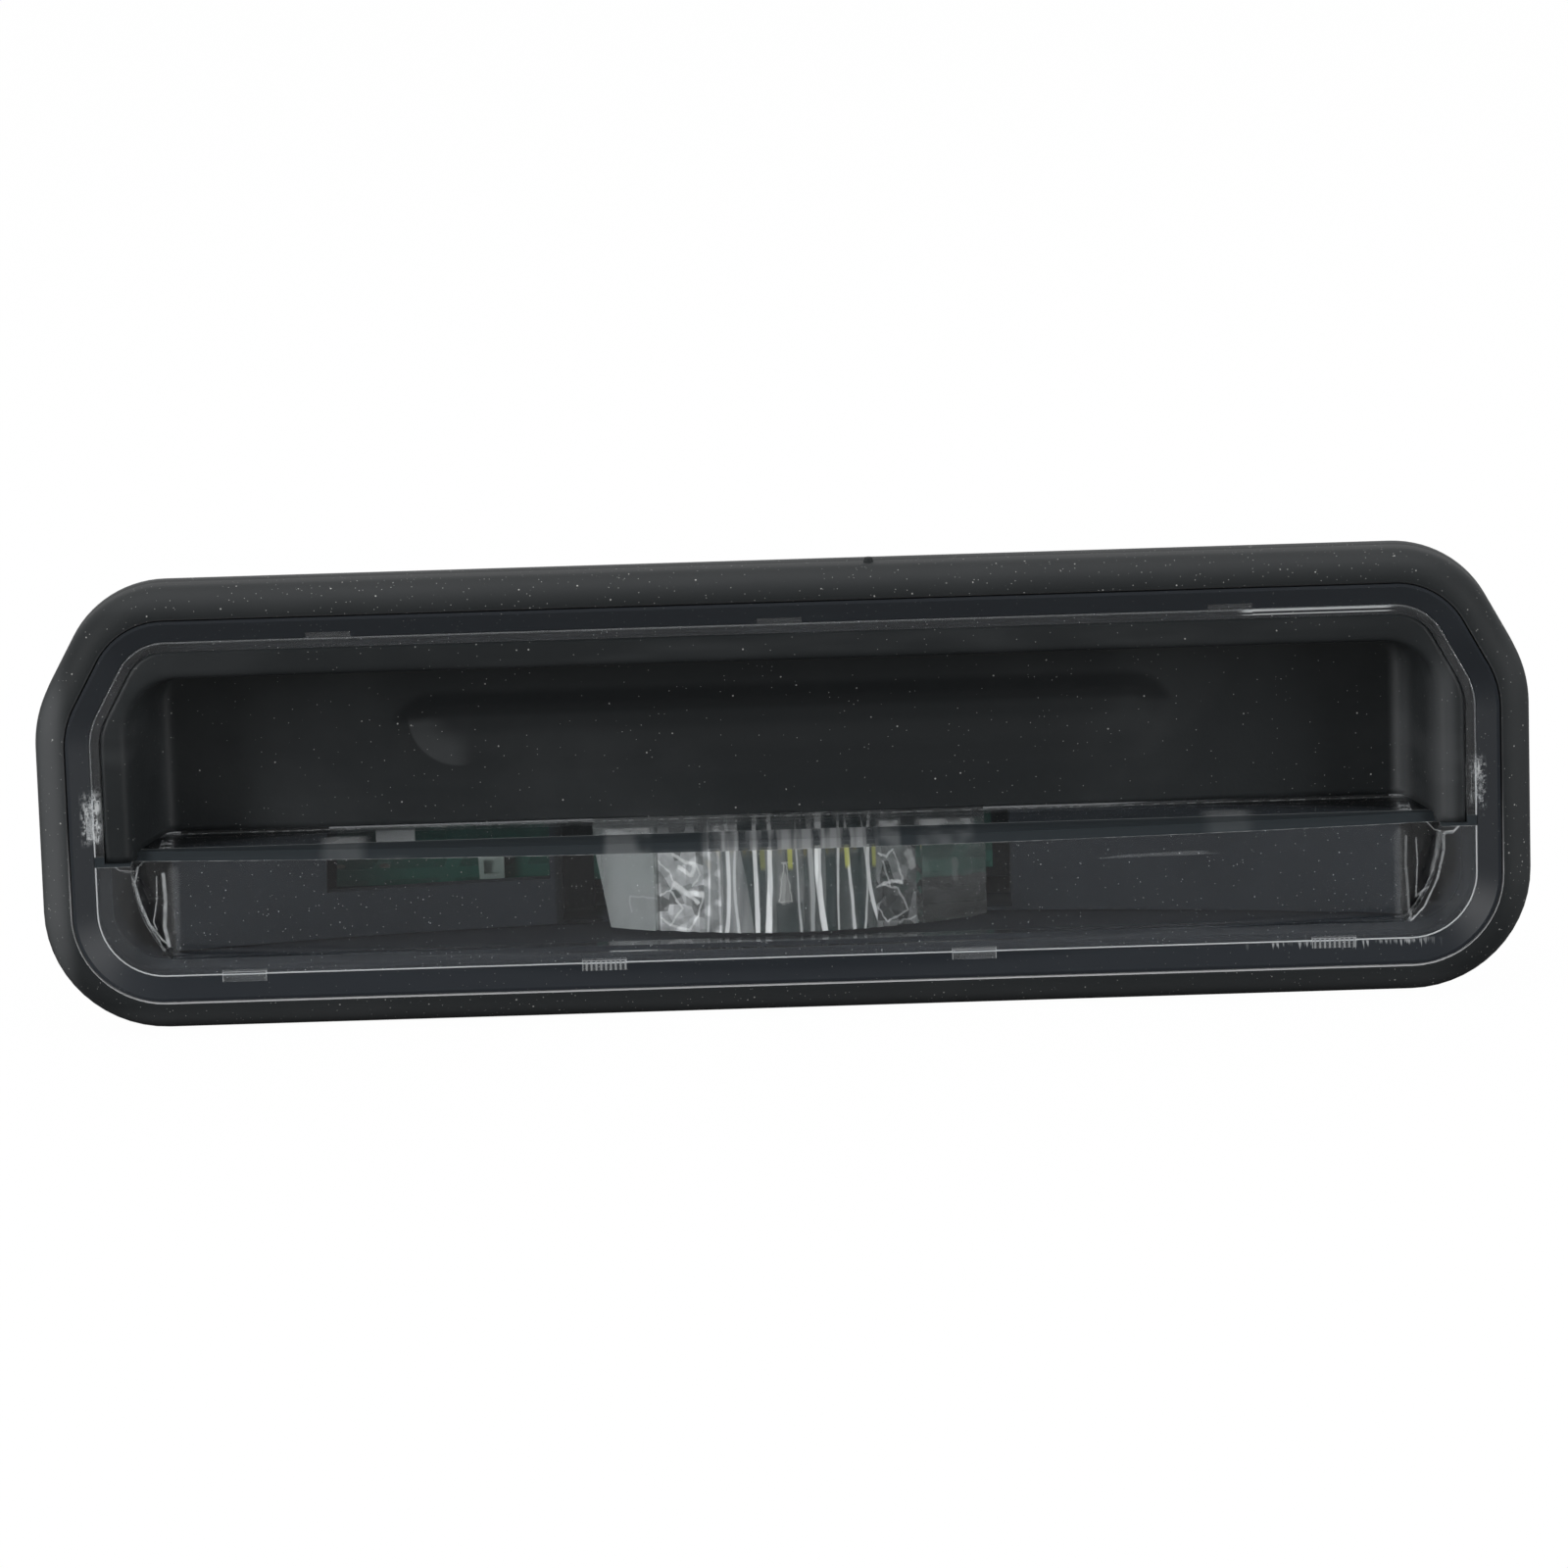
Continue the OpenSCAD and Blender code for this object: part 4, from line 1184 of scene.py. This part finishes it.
@dataclass(frozen=True)
class EmitterFinish:
    """White case with a round yellow front."""

    centre_x: float
    centre_y: float = -8.05
    case: Colour = (0.82, 0.82, 0.76)
    front: Colour = (0.80, 0.60, 0.10)
    glow: Colour = (0.55, 0.42, 0.08)

    def make(self) -> bpy.types.Material:
        """Builds the material.

        Returns:
            The material.
        """
        t = NodeTree(f"emitter_{int(self.centre_x * 10)}")
        x, y, z = t.axes()
        away = (x - self.centre_x).hypot(y - self.centre_y)
        disc = away.step(1.14, 1.06) * z.step(-12.5, -12.4)
        colour = t.tint(disc, self.case, self.front)
        glow = t.tint(disc, (0.0, 0.0, 0.0), self.glow)
        return t.finish(
            t.principled(
                Base_Color=colour,
                Roughness=0.4 - disc * 0.15 + t.noise(800.0) * 0.1,
                Normal=t.bump(t.noise(1800.0, 2.0), 0.2, 0.00004),
                Emission_Color=glow,
                Emission_Strength=0.5,
            )
        )


@dataclass(frozen=True)
class MetalFinish:
    """Rolled or plated metal with fine lines along one axis."""

    name: str
    base: Colour
    dark: Colour
    lines: tuple[float, float, float]
    rough: float = 0.3

    def make(self) -> bpy.types.Material:
        """Builds the material.

        Returns:
            The material.
        """
        t = NodeTree(self.name)
        brushed = t.grain(self.lines, 4.0)
        cloud = t.noise(140.0, 3.0)
        colour = t.tint(cloud.step(0.4, 0.8) * 0.6, self.base, self.dark)
        return t.finish(
            t.principled(
                Base_Color=colour,
                Metallic=1.0,
                Roughness=self.rough + brushed * 0.18 + cloud * 0.06,
                Normal=t.bump(brushed, 0.25, 0.00004),
            )
        )


@dataclass(frozen=True)
class ChipFinish:
    """Black moulded chip case with tinned legs."""

    case: Colour = (0.018, 0.018, 0.020)
    leg: Colour = (0.62, 0.62, 0.60)

    def make(self) -> bpy.types.Material:
        """Builds the material.

        Returns:
            The material.
        """
        t = NodeTree("chip_case")
        x, y, z = t.axes()
        legs = (y - 1.0).abs().step(1.98, 2.02) * z.step(-12.55, -12.65)
        dot = ((x + 27.3).abs() + (y - 2.3).abs()).step(0.42, 0.3)
        colour = t.tint(legs, self.case, self.leg)
        return t.finish(
            t.principled(
                Base_Color=colour,
                Metallic=legs,
                Roughness=0.55 - legs * 0.25 + t.noise(500.0) * 0.08,
                Normal=t.bump(t.noise(1500.0, 2.0) * 0.3 - dot, 0.5, 0.00008),
            )
        )


@dataclass(frozen=True)
class StageFinish:
    """Pale floor that shows as white to the camera and keeps a faint shadow."""

    colour: Colour = (0.22, 0.22, 0.22)
    lift: float = 0.96
    white: float = 1.03

    def make(self) -> bpy.types.Material:
        """Builds the material.

        Returns:
            The material.
        """
        t = NodeTree("stage_floor")
        floor = t.principled(Base_Color=self.colour, Roughness=0.9)
        white = t.node("ShaderNodeEmission", values={"Color": (1.0, 1.0, 1.0), "Strength": self.white})
        camera = t.node("ShaderNodeLightPath", result="Is Camera Ray")
        return t.finish(t.node("ShaderNodeMixShader", values={0: camera * self.lift, 1: floor, 2: white}))


# ---------------------------------------------------------------- sub-assemblies


def dress(obj: bpy.types.Object, material: bpy.types.Material) -> None:
    """Gives an object one material in all its slots.

    Args:
        obj: the object.
        material: the material.
    """
    if not obj.material_slots:
        obj.data.materials.append(material)
    for place in obj.material_slots:
        place.material = material


def dress_node(name: str, material: bpy.types.Material) -> None:
    """Gives a solid of the frame its material."""
    dress(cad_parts[name], material)
    LOG.info("dressed %s", name)


@dataclass
class Seal:
    """The rubber seal: one profile carried round the outline."""

    sizes: UnitSizes
    lip_top: float = 1.5
    inner_low: float = 5.2
    inner_high: float = 3.1
    outer_round: float = 2.9
    fillet: float = 0.45
    nib_x: float = 9.0
    nib_z: float = 3.2
    nib_r: float = 0.55
    nib_sink: float = 0.4
    nib_length: float = 0.88

    def profile(self) -> np.ndarray:
        """Closed section as (outward, depth) points, rear outer corner first.

        The outer front edge is outer_round (cos a - 1, sin a - 1); the other corners carry
        small fillets; a shallow groove f = -g exp(-((z - 2.2) / 0.25)^2) marks the side.

        Returns:
            Array (n, 2).
        """
        top, r, f = self.sizes.z_front, self.outer_round, self.fillet
        a = np.radians(np.linspace(0.0, 90.0, 11))
        outer = np.stack([r * (np.cos(a) - 1.0), top + r * (np.sin(a) - 1.0)], axis=1)
        b = np.radians(np.linspace(90.0, 180.0, 5))
        inner = np.stack([-self.inner_high + f + f * np.cos(b), top - f + f * np.sin(b)], axis=1)
        side_z = np.array([0.35, 1.6, 2.0, 2.2, 2.4, 2.8, 3.4])
        groove = -0.05 * np.exp(-(((side_z - 2.2) / 0.25) ** 2))
        side = np.stack([groove, side_z], axis=1)
        lip = [[-self.inner_high, self.lip_top], [-self.inner_low, self.lip_top], [-self.inner_low, 0.0]]
        return np.concatenate([side, outer, inner, lip, [[-0.35, 0.0], [-0.08, 0.1]]])

    def ring(self) -> bpy.types.Object:
        """Carries the section round the outline.

        Returns:
            The seal.
        """
        obj = MeshMaker.sweep("seal_ring", self.sizes, self.profile(), mapped=True)
        MeshMaker.shade(obj, 40.0)
        return obj

    def nib(self) -> bpy.types.Object:
        """The moulding nib: radius r (1 - 0.35 t^2) over its height t, closed by a small cap.

        Returns:
            The nib.
        """
        t = np.array([0.0, 0.4, 0.75, 0.95, 1.0, 1.0])
        radius = self.nib_r * (1.0 - 0.35 * t**2)
        radius[-1] = 0.0
        level = self.sizes.half_h - self.nib_sink + t * self.nib_length
        obj = MeshMaker.rings("seal_nib", radius, level, (self.nib_x, self.nib_z), 16, cap=True)
        MeshMaker.tidy(obj)
        MeshMaker.shade(obj, 50.0)
        return obj

    def build(self) -> None:
        """Makes, dresses and places the seal and its nib."""
        rubber = RubberFinish(RubberPart.SEAL).make()
        for obj in (self.ring(), self.nib()):
            dress(obj, rubber)
            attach(obj, "unit")
            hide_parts("seal_gasket")
            LOG.info("built %s, %d faces", obj.name, len(obj.data.polygons))


@dataclass
class Cover:
    """The clear cover, a rounded copy of its solid drawn in by a hair from its neighbours."""

    sizes: UnitSizes
    gap: float = 0.03
    edge_round: float = 0.22
    bead_r: float = 0.075
    bead_in: float = 0.14
    bead_low: float = 0.01
    bead_flat: float = 0.8

    def build(self) -> None:
        """Makes, dresses and places the cover.

        Each point moves against its normal by the gap, so that clear and dark faces never lie
        in one plane.
        """
        obj = MeshMaker.copy_solid("lens_cover", "clear_cover")
        mesh = obj.data
        count = len(mesh.vertices)
        co = np.empty(count * 3, dtype=np.float32)
        nor = np.empty(count * 3, dtype=np.float32)
        mesh.vertices.foreach_get("co", co)
        mesh.vertex_normals.foreach_get("vector", nor)
        mesh.vertices.foreach_set("co", co - nor * np.float32(self.gap * MM))
        mesh.update()
        MeshMaker.round_edges(obj, self.edge_round)
        MeshMaker.shade(obj, 30.0)
        mesh.materials.append(CoverFinish().make())
        mesh.materials.append(CoverFinish(edge=True).make())
        obj.modifiers["edge"].material = 1
        obj.modifiers.new("even", "WEIGHTED_NORMAL").keep_sharp = True
        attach(obj, "unit")
        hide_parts("lens_cover")
        LOG.info("built %s, %d faces", obj.name, len(mesh.polygons))
        self.bead()

    def bead(self) -> None:
        """The rounded outer edge of the cover: a small section carried round the outline.

        The section is (r cos a, k r sin a) in the plane of outward distance and depth, with k
        its flatness, carried at the inset of the cover.
        """
        s = self.sizes
        a = np.linspace(0.0, 2 * np.pi, 9)[:-1]
        out = -(s.in_cover + self.bead_in) + self.bead_r * np.cos(a)
        depth = s.z_rim - self.bead_low + self.bead_r * self.bead_flat * np.sin(a)
        obj = MeshMaker.sweep("cover_edge", s, np.stack([out, depth], axis=1))
        MeshMaker.shade(obj, 80.0)
        dress(obj, CoverFinish(edge=True).make())
        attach(obj, "unit")
        LOG.info("built %s, %d faces", obj.name, len(obj.data.polygons))


@dataclass
class Liner:
    """The rubber liner of the finger recess, one soft sheet with a rounded mouth."""

    sizes: UnitSizes
    mouth_r: float = 5.4
    pad_r: float = 3.6
    edge_round: float = 1.25
    pad_round: float = 1.3
    lip_round: float = 0.45
    lip_depth: float = 2.0
    dimple_len: float = 80.0
    dimple_h: float = 10.0
    dimple_depth: float = 0.7
    dimple_y: float = 4.5
    mouth_share: float = 0.8
    lip_gap: float = 0.05
    lip_step: float = 1.0
    flat_band: float = 0.3
    shelf_end: float = 3.6
    shelf_run: float = 0.8
    rings: int = 46

    def rim_path(self, half: float, top: float, r: float) -> tuple[np.ndarray, np.ndarray]:
        """An upside-down U: up the left side, round, along the top, round and down the right.

        Sides are straight, each corner is c + r (cos a, sin a); every call has the same number of
        points in the same order, so that two such paths can be joined point to point.

        Args:
            half: half of its width.
            top: its upper level.
            r: radius of both corners.

        Returns:
            Points (n, 2) and outward normals (n, 2).
        """
        low = self.sizes.lip_end_y
        side = np.linspace(low, top - r, 20)[:-1]
        a = np.radians(np.linspace(180.0, 90.0, 15))
        left = np.stack([np.full_like(side, -half), side], axis=1)
        bend = np.stack([r - half + r * np.cos(a), top - r + r * np.sin(a)], axis=1)
        span = np.linspace(r - half, half - r, 122)[1:-1]
        along = np.stack([span, np.full_like(span, top)], axis=1)
        mirror = np.array([-1.0, 1.0])
        points = np.concatenate([left, bend, along, bend[::-1] * mirror, left[::-1] * mirror])
        n_left = np.repeat([[-1.0, 0.0]], len(left), axis=0)
        n_bend = np.stack([np.cos(a), np.sin(a)], axis=1)
        n_top = np.repeat([[0.0, 1.0]], len(along), axis=0)
        normals = np.concatenate([n_left, n_bend, n_top, n_bend[::-1] * mirror, n_left * mirror])
        return points, normals

    def reach(self, points: np.ndarray, normals: np.ndarray) -> np.ndarray:
        """Distance along each normal to the outline that the lip fills.

        The outline is convex, so the distance is the least positive of ((q - p) . m) / (n . m)
        over its edges, with q a point and m the outward normal of an edge.

        Args:
            points: where each ray starts.
            normals: its direction.

        Returns:
            The distances.
        """
        path, out = Outline(self.sizes).path()
        ring = path - out * self.sizes.in_lip
        facing = normals @ out.T
        gap = np.sum(ring * out, axis=1)[None, :] - points @ out.T
        return np.where(facing > 0.05, gap / np.maximum(facing, 0.05), 1e6).min(axis=1)

    @staticmethod
    def bend(a: np.ndarray, corner: np.ndarray, b: np.ndarray, steps: int) -> np.ndarray:
        """Rounded corner: (1-t)^2 a + 2 t (1-t) c + t^2 b for each point of the path.

        Args:
            a: starts (n, 3).
            corner: corners (n, 3).
            b: ends (n, 3).
            steps: number of rows made.

        Returns:
            Array (steps, n, 3).
        """
        t = np.linspace(0.0, 1.0, steps)[:, None, None]
        return (1 - t) ** 2 * a + 2 * t * (1 - t) * corner + t**2 * b

    def dimple(self, x: np.ndarray, y: np.ndarray) -> np.ndarray:
        """Depth of the finger mark: a rod with ball ends pressed in, its rim softened.

        With q the distance to the middle line over half the height and s the smoothstep, depth =
        d s((1 - q) / 0.55) (1 - 0.35 q^2), where q is held at one in the last factor.

        Args:
            x: plan x.
            y: plan y.

        Returns:
            Depth in mm.
        """
        h = self.dimple_h / 2
        straight = self.dimple_len / 2 - h
        q = np.hypot(np.maximum(np.abs(x) - straight, 0.0), y - self.dimple_y) / h
        return self.dimple_depth * smooth((1.0 - q) / 0.55) * (1.0 - 0.35 * np.minimum(q, 1.0) ** 2)

    def sheet(self) -> bpy.types.Object:
        """Joins lip, rounded mouth, wall, fillet and pad into one grid of points.

        Returns:
            The liner before its thickness.
        """
        s = self.sizes
        mouth, normal = self.rim_path(s.open_w, s.open_top, self.mouth_r)
        pad, _ = self.rim_path(s.back_w, s.back_top, self.pad_r)
        lip = mouth + normal * (self.reach(mouth, normal) - self.lip_gap)[:, None]

        def at(xy: np.ndarray, z: float) -> np.ndarray:
            """Points at one depth."""
            return np.concatenate([xy, np.full((len(xy), 1), z)], axis=1)

        corner, foot, edge = at(mouth, s.z_lip), at(pad, s.z_pad), at(lip, s.z_lip)
        wall = (foot - corner) / np.linalg.norm(foot - corner, axis=1)[:, None]
        inward = np.concatenate([-normal, np.zeros((len(normal), 1))], axis=1)
        below = at(lip, s.z_lip - self.lip_depth)
        top = corner + wall * self.edge_round
        rows = [
            np.stack([below, at(lip, s.z_lip - self.lip_step)]),
            self.bend(edge - [0, 0, self.lip_round], edge, edge + inward * self.lip_round, 4),
            self.bend(corner - inward * self.edge_round * self.mouth_share, corner, top, 9),
        ]
        end = foot - wall * self.pad_round
        rows.append(top + (end - top) * np.linspace(0.0, 1.0, 16)[1:-1, None, None])
        start = foot + inward * self.pad_round
        rows.append(self.bend(end, foot, start, 9))
        k = np.linspace(1.0, 0.0, self.rings)[1:, None, None]
        base = np.array([0.0, s.shelf_y, s.z_pad])
        rows.append(base + (start - base) * k)
        grid = np.concatenate(rows)
        rise = smooth((self.shelf_end - grid[..., 2]) / self.shelf_run)
        low = s.lip_end_y + (s.shelf_y - s.lip_end_y) * rise
        grid[..., 1] = np.maximum(grid[..., 1], low)
        flat = grid[..., 2] < s.z_pad + self.flat_band
        grid[..., 2] -= np.where(flat, self.dimple(grid[..., 0], grid[..., 1]), 0.0)
        count, across = grid.shape[:2]
        faces = MeshMaker.grid_faces(count, across, False, False)
        obj = MeshMaker.build("recess_liner", grid.reshape(-1, 3), faces)
        MeshMaker.tidy(obj, merge=0.02, outward=False)
        return obj

    def build(self) -> None:
        """Makes, dresses and places the liner."""
        obj = self.sheet()
        wall = obj.modifiers.new("wall", "SOLIDIFY")
        wall.thickness = (self.sizes.liner_t - self.dimple_depth) * MM
        wall.offset = -1.0
        MeshMaker.shade(obj, 60.0)
        dress(obj, RubberFinish(RubberPart.LINER).make())
        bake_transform(obj)
        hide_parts("finger_pad")
        LOG.info("built %s, %d faces", obj.name, len(obj.data.polygons))


@dataclass
class Guide:
    """The clear light guide: a bowed block with upright flutes and cut facets."""

    centre_x: float = 0.3
    width: float = 39.4
    bow: float = 6.0
    front: float = 3.2
    rear: float = -11.5
    low: float = -14.85
    high: float = -5.75
    flute_x: float = 1.45
    flute_pitch: float = 1.6
    flutes: int = 10
    flute_depth: float = 0.34
    facet_depth: float = 0.55
    facet_reach: Pair = (-13.2, 13.4)
    slants: tuple[tuple[float, float, float], ...] = ((0.9, 5.2, 1.7), (0.55, -6.5, 2.1))
    side_lean: float = 1.6
    side_x: float = -14.0
    side_run: float = 5.0
    end_gap: float = 0.05
    columns: int = 420
    rows: int = 28

    def front_z(self, x: np.ndarray, v: np.ndarray) -> np.ndarray:
        """Depth of the front: bow circle less flutes and facets.

        z = zf - r + sqrt(r^2 - dx^2) - d sqrt(1 - (2 f - 1)^2) in the fluted middle, with f the
        place within a flute from nought to one. On both sides of it the greater of two slanted
        zigzags |2 g - 1| is taken off, with g the fraction of (a x + b v) / p.

        Args:
            x: plan x of each point.
            v: nought at the bottom to one at the top.

        Returns:
            Plan z of each point.
        """
        r = (self.width**2 / 4 + self.bow**2) / (2 * self.bow)
        dx = x - self.centre_x
        z = self.front - r + np.sqrt(np.maximum(r * r - dx * dx, 0.0))
        half = self.flutes * self.flute_pitch / 2
        inside = np.abs(x - self.flute_x) < half
        wander = 0.12 * np.sin(2.3 * v * np.pi + x * 1.7)
        phase = (x + wander - self.flute_x + half) / self.flute_pitch
        groove = np.sqrt(np.maximum(1.0 - (2.0 * (phase - np.floor(phase)) - 1.0) ** 2, 0.0))
        z = z - np.where(inside, self.flute_depth * groove, 0.0)
        left = (x > self.facet_reach[0]) & (x < self.flute_x - half)
        right = (x < self.facet_reach[1]) & (x > self.flute_x + half)
        facet = np.zeros_like(x)
        for along, upward, pitch in self.slants:
            place = (x * along + v * upward) / pitch
            facet = np.maximum(facet, np.abs(2.0 * (place - np.floor(place)) - 1.0))
        return z - np.where(left | right, self.facet_depth * facet, 0.0)

    def mesh(self) -> bpy.types.Object:
        """Closed body: a ring of front, side and rear columns carried up through the rows.

        Returns:
            The light guide.
        """
        x0 = self.centre_x - self.width / 2 + self.end_gap
        x1 = self.centre_x + self.width / 2 - self.end_gap
        v = np.linspace(0.0, 1.0, self.rows)[:, None]
        x = x0 + (x1 - x0) * np.linspace(0.0, 1.0, self.columns)[None, :]
        lean = self.side_lean * (1.0 - v) * smooth((self.side_x - x) / self.side_run)
        x = x + np.where(x < self.side_x, lean, 0.0)
        y = np.broadcast_to(self.low + (self.high - self.low) * v, x.shape)
        z = self.front_z(x, np.broadcast_to(v, x.shape))
        front = np.stack([x, y, z], axis=-1)
        back = np.stack([x[:, ::-1], y, np.full_like(x, self.rear)], axis=-1)
        ring = np.concatenate([front, back], axis=1)
        rows, cols = ring.shape[:2]
        faces = MeshMaker.grid_faces(rows, cols, False, True, flip=True).tolist()
        half = self.columns
        j = np.arange(half - 1)
        low = np.stack([j, j + 1, 2 * half - 2 - j, 2 * half - 1 - j], axis=1)
        faces += low.tolist()
        faces += (low[:, ::-1] + (rows - 1) * cols).tolist()
        obj = MeshMaker.build("fluted_guide", ring.reshape(-1, 3), faces)
        MeshMaker.tidy(obj)
        MeshMaker.shade(obj, 28.0)
        return obj

    def build(self) -> None:
        """Makes, dresses and places the light guide."""
        obj = self.mesh()
        dress(obj, GuideFinish().make())
        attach(obj, "unit")
        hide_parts("light_guide")
        LOG.info("built %s, %d faces", obj.name, len(obj.data.polygons))


@dataclass
class Dressing:
    """Solids that keep their shape: each finish with the nodes that share it, in order."""

    pieces: tuple[tuple[Finish, tuple[str, ...]], ...] = ()

    def build(self) -> None:
        """Dresses the solids."""
        for finish, nodes in self.pieces:
            material = finish.make()
            for node in nodes:
                dress_node(node, material)


@dataclass
class Electronics(Dressing):
    """Board, emitters, switch and small parts."""

    pieces: tuple[tuple[Finish, tuple[str, ...]], ...] = (
        (BoardFinish(), ("circuit_board",)),
        (EmitterFinish(-3.6), ("led_left",)),
        (EmitterFinish(0.6), ("led_middle",)),
        (EmitterFinish(4.8), ("led_right",)),
        (ChipFinish(), ("driver_chip",)),
        (
            PlasticFinish("resistor_body", (0.03, 0.03, 0.032), (0.05, 0.05, 0.052), 0.5, 2200.0),
            ("chip_resistors",),
        ),
        (
            PlasticFinish("white_case", (0.78, 0.80, 0.80), (0.70, 0.73, 0.73), 0.4, 1800.0),
            ("filter_capacitor",),
        ),
        (PlasticFinish("grey_frame", (0.20, 0.26, 0.24), (0.28, 0.34, 0.31), 0.45, 1800.0), ("square_coil",)),
        (PlasticFinish("switch_case", (0.03, 0.03, 0.033), (0.045, 0.045, 0.048), 0.5), ("switch_body",)),
        (PlasticFinish("plunger_red", (0.26, 0.05, 0.03), (0.20, 0.04, 0.025), 0.42), ("switch_plunger",)),
        (
            MetalFinish("screw_steel", (0.55, 0.55, 0.54), (0.38, 0.38, 0.37), (900.0, 900.0, 900.0)),
            ("board_screws",),
        ),
        (
            MetalFinish(
                "terminal_brass", (0.66, 0.55, 0.30), (0.48, 0.38, 0.20), (2500.0, 60.0, 2500.0), rough=0.26
            ),
            ("terminal_a", "terminal_b", "terminal_c", "terminal_d"),
        ),
    )


@dataclass
class Body(Dressing):
    """Housing, bezel, push plate and spring clips."""

    pieces: tuple[tuple[Finish, tuple[str, ...]], ...] = (
        (HousingFinish(), ("housing",)),
        (
            PlasticFinish(
                "bezel_satin",
                (0.0112, 0.0145, 0.0190),
                (0.0165, 0.0205, 0.0260),
                rough=0.66,
                grain=900.0,
                gloss=0.16,
                painted_shade_x=(-21.0, 2.1),
            ),
            ("lamp_bezel",),
        ),
        (PlasticFinish("plate_black", (0.03, 0.03, 0.032), (0.04, 0.04, 0.042), 0.5), ("push_plate",)),
        (
            MetalFinish("spring_steel", (0.46, 0.46, 0.46), (0.30, 0.30, 0.31), (1800.0, 1800.0, 60.0), 0.28),
            ("clip_left", "clip_right"),
        ),
    )


# ---------------------------------------------------------------- studio


@dataclass
class Studio:
    """Camera, floor, lamps and world of the photograph's view."""

    distance: float = 0.80
    elevation_deg: float = 12.0
    roll_deg: float = 1.77
    view_width: float = 0.15640
    centre_v: float = -0.00048
    sensor: float = 36.0
    floor_z: float = -0.0226
    aim: Colour = (0.0, 0.0, 0.0)
    lamps: tuple[tuple[str, Colour, Pair, float], ...] = (
        ("overhead", (0.0, -0.05, 0.85), (1.2, 0.45), 5.0),
        ("left_soft", (-0.90, -0.65, 0.30), (0.30, 0.8), 8.0),
        ("right_soft", (0.90, -0.65, 0.30), (0.30, 0.8), 7.0),
    )

    def camera(self) -> None:
        """Places the camera in front and above, aimed a little below the middle, and rolled."""
        tilt = math.radians(self.elevation_deg)
        up = Vector((0.0, math.sin(tilt), math.cos(tilt)))
        back = Vector((0.0, -math.cos(tilt), math.sin(tilt)))
        target = up * self.centre_v
        data = bpy.data.cameras.new("camera")
        data.sensor_width = self.sensor
        data.lens = self.sensor * self.distance / self.view_width
        data.dof.use_dof = False
        data.clip_start = 0.01
        data.clip_end = 20.0
        cam = add_object("camera", data)
        cam.location = target + back * self.distance
        cam.rotation_euler = (-back).to_track_quat("-Z", "Y").to_euler()
        cam.rotation_euler.rotate_axis("Z", -math.radians(self.roll_deg))
        bpy.context.scene.camera = cam

    def floor(self) -> None:
        """A wide pale disc under the unit, as rings of quads."""
        radius = np.array([0.0, 0.3, 1.0, 2.5]) / MM
        level = np.full_like(radius, self.floor_z / MM)
        obj = MeshMaker.rings("floor", radius, level, (0.0, 0.0), 48)
        MeshMaker.tidy(obj, outward=False)
        dress(obj, StageFinish().make())

    def light(self) -> None:
        """Adds the soft rectangular lamps: name, place and size in metres, power in watts."""
        for name, place, size, power in self.lamps:
            data = bpy.data.lights.new(name, "AREA")
            data.shape = "RECTANGLE"
            data.size, data.size_y = size
            data.energy = power
            obj = add_object(name, data)
            obj.visible_transmission = False
            obj.location = place
            obj.rotation_euler = (Vector(self.aim) - Vector(place)).to_track_quat("-Z", "Y").to_euler()

    def world(self, front: float = 0.05, behind: float = 0.9, above: float = 0.12) -> None:
        """White to the camera; a dim room lights the rest.

        The room is level = front + (behind - front) s(y) + above s(z), where s is a smooth rise
        along the direction looked in, and its back is dark to light that left a clear piece.

        Args:
            front: level on the camera's side.
            behind: level beyond the unit, where the white backdrop is.
            above: level added toward the ceiling.
        """
        t = NodeTree("studio", world=True)
        bpy.context.scene.world = t.material
        toward = t.node("ShaderNodeTexCoord", result="Generated")
        y, z = (t.node("ShaderNodeSeparateXYZ", values=[toward], result=name) for name in "YZ")
        solid = 1 - t.node("ShaderNodeLightPath", result="Is Transmission Ray")
        level = y.step(-0.05, 0.6) * (behind - front) * solid + z.step(0.1, 0.9) * above + front
        room = t.node("ShaderNodeBackground", values={"Color": (1.0, 1.0, 1.0), "Strength": level})
        white = t.node("ShaderNodeBackground", values={"Color": (1.0, 1.0, 1.0), "Strength": 1.0})
        camera = t.node("ShaderNodeLightPath", result="Is Camera Ray")
        t.finish(t.node("ShaderNodeMixShader", values={0: camera, 1: room, 2: white}))

    def build(self) -> None:
        """Makes the whole studio."""
        bpy.context.scene.view_settings.view_transform = "Standard"
        self.camera()
        self.floor()
        self.world()
        self.light()
        LOG.info("built the studio")


# ---------------------------------------------------------------- making


def main() -> None:
    """Builds the studio and every sub-assembly in order."""
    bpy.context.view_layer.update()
    sizes = UnitSizes()
    Studio().build()
    Seal(sizes).build()
    Body().build()
    Cover(sizes).build()
    Liner(sizes).build()
    Guide().build()
    Electronics().build()


if __name__ == "__main__":
    main()
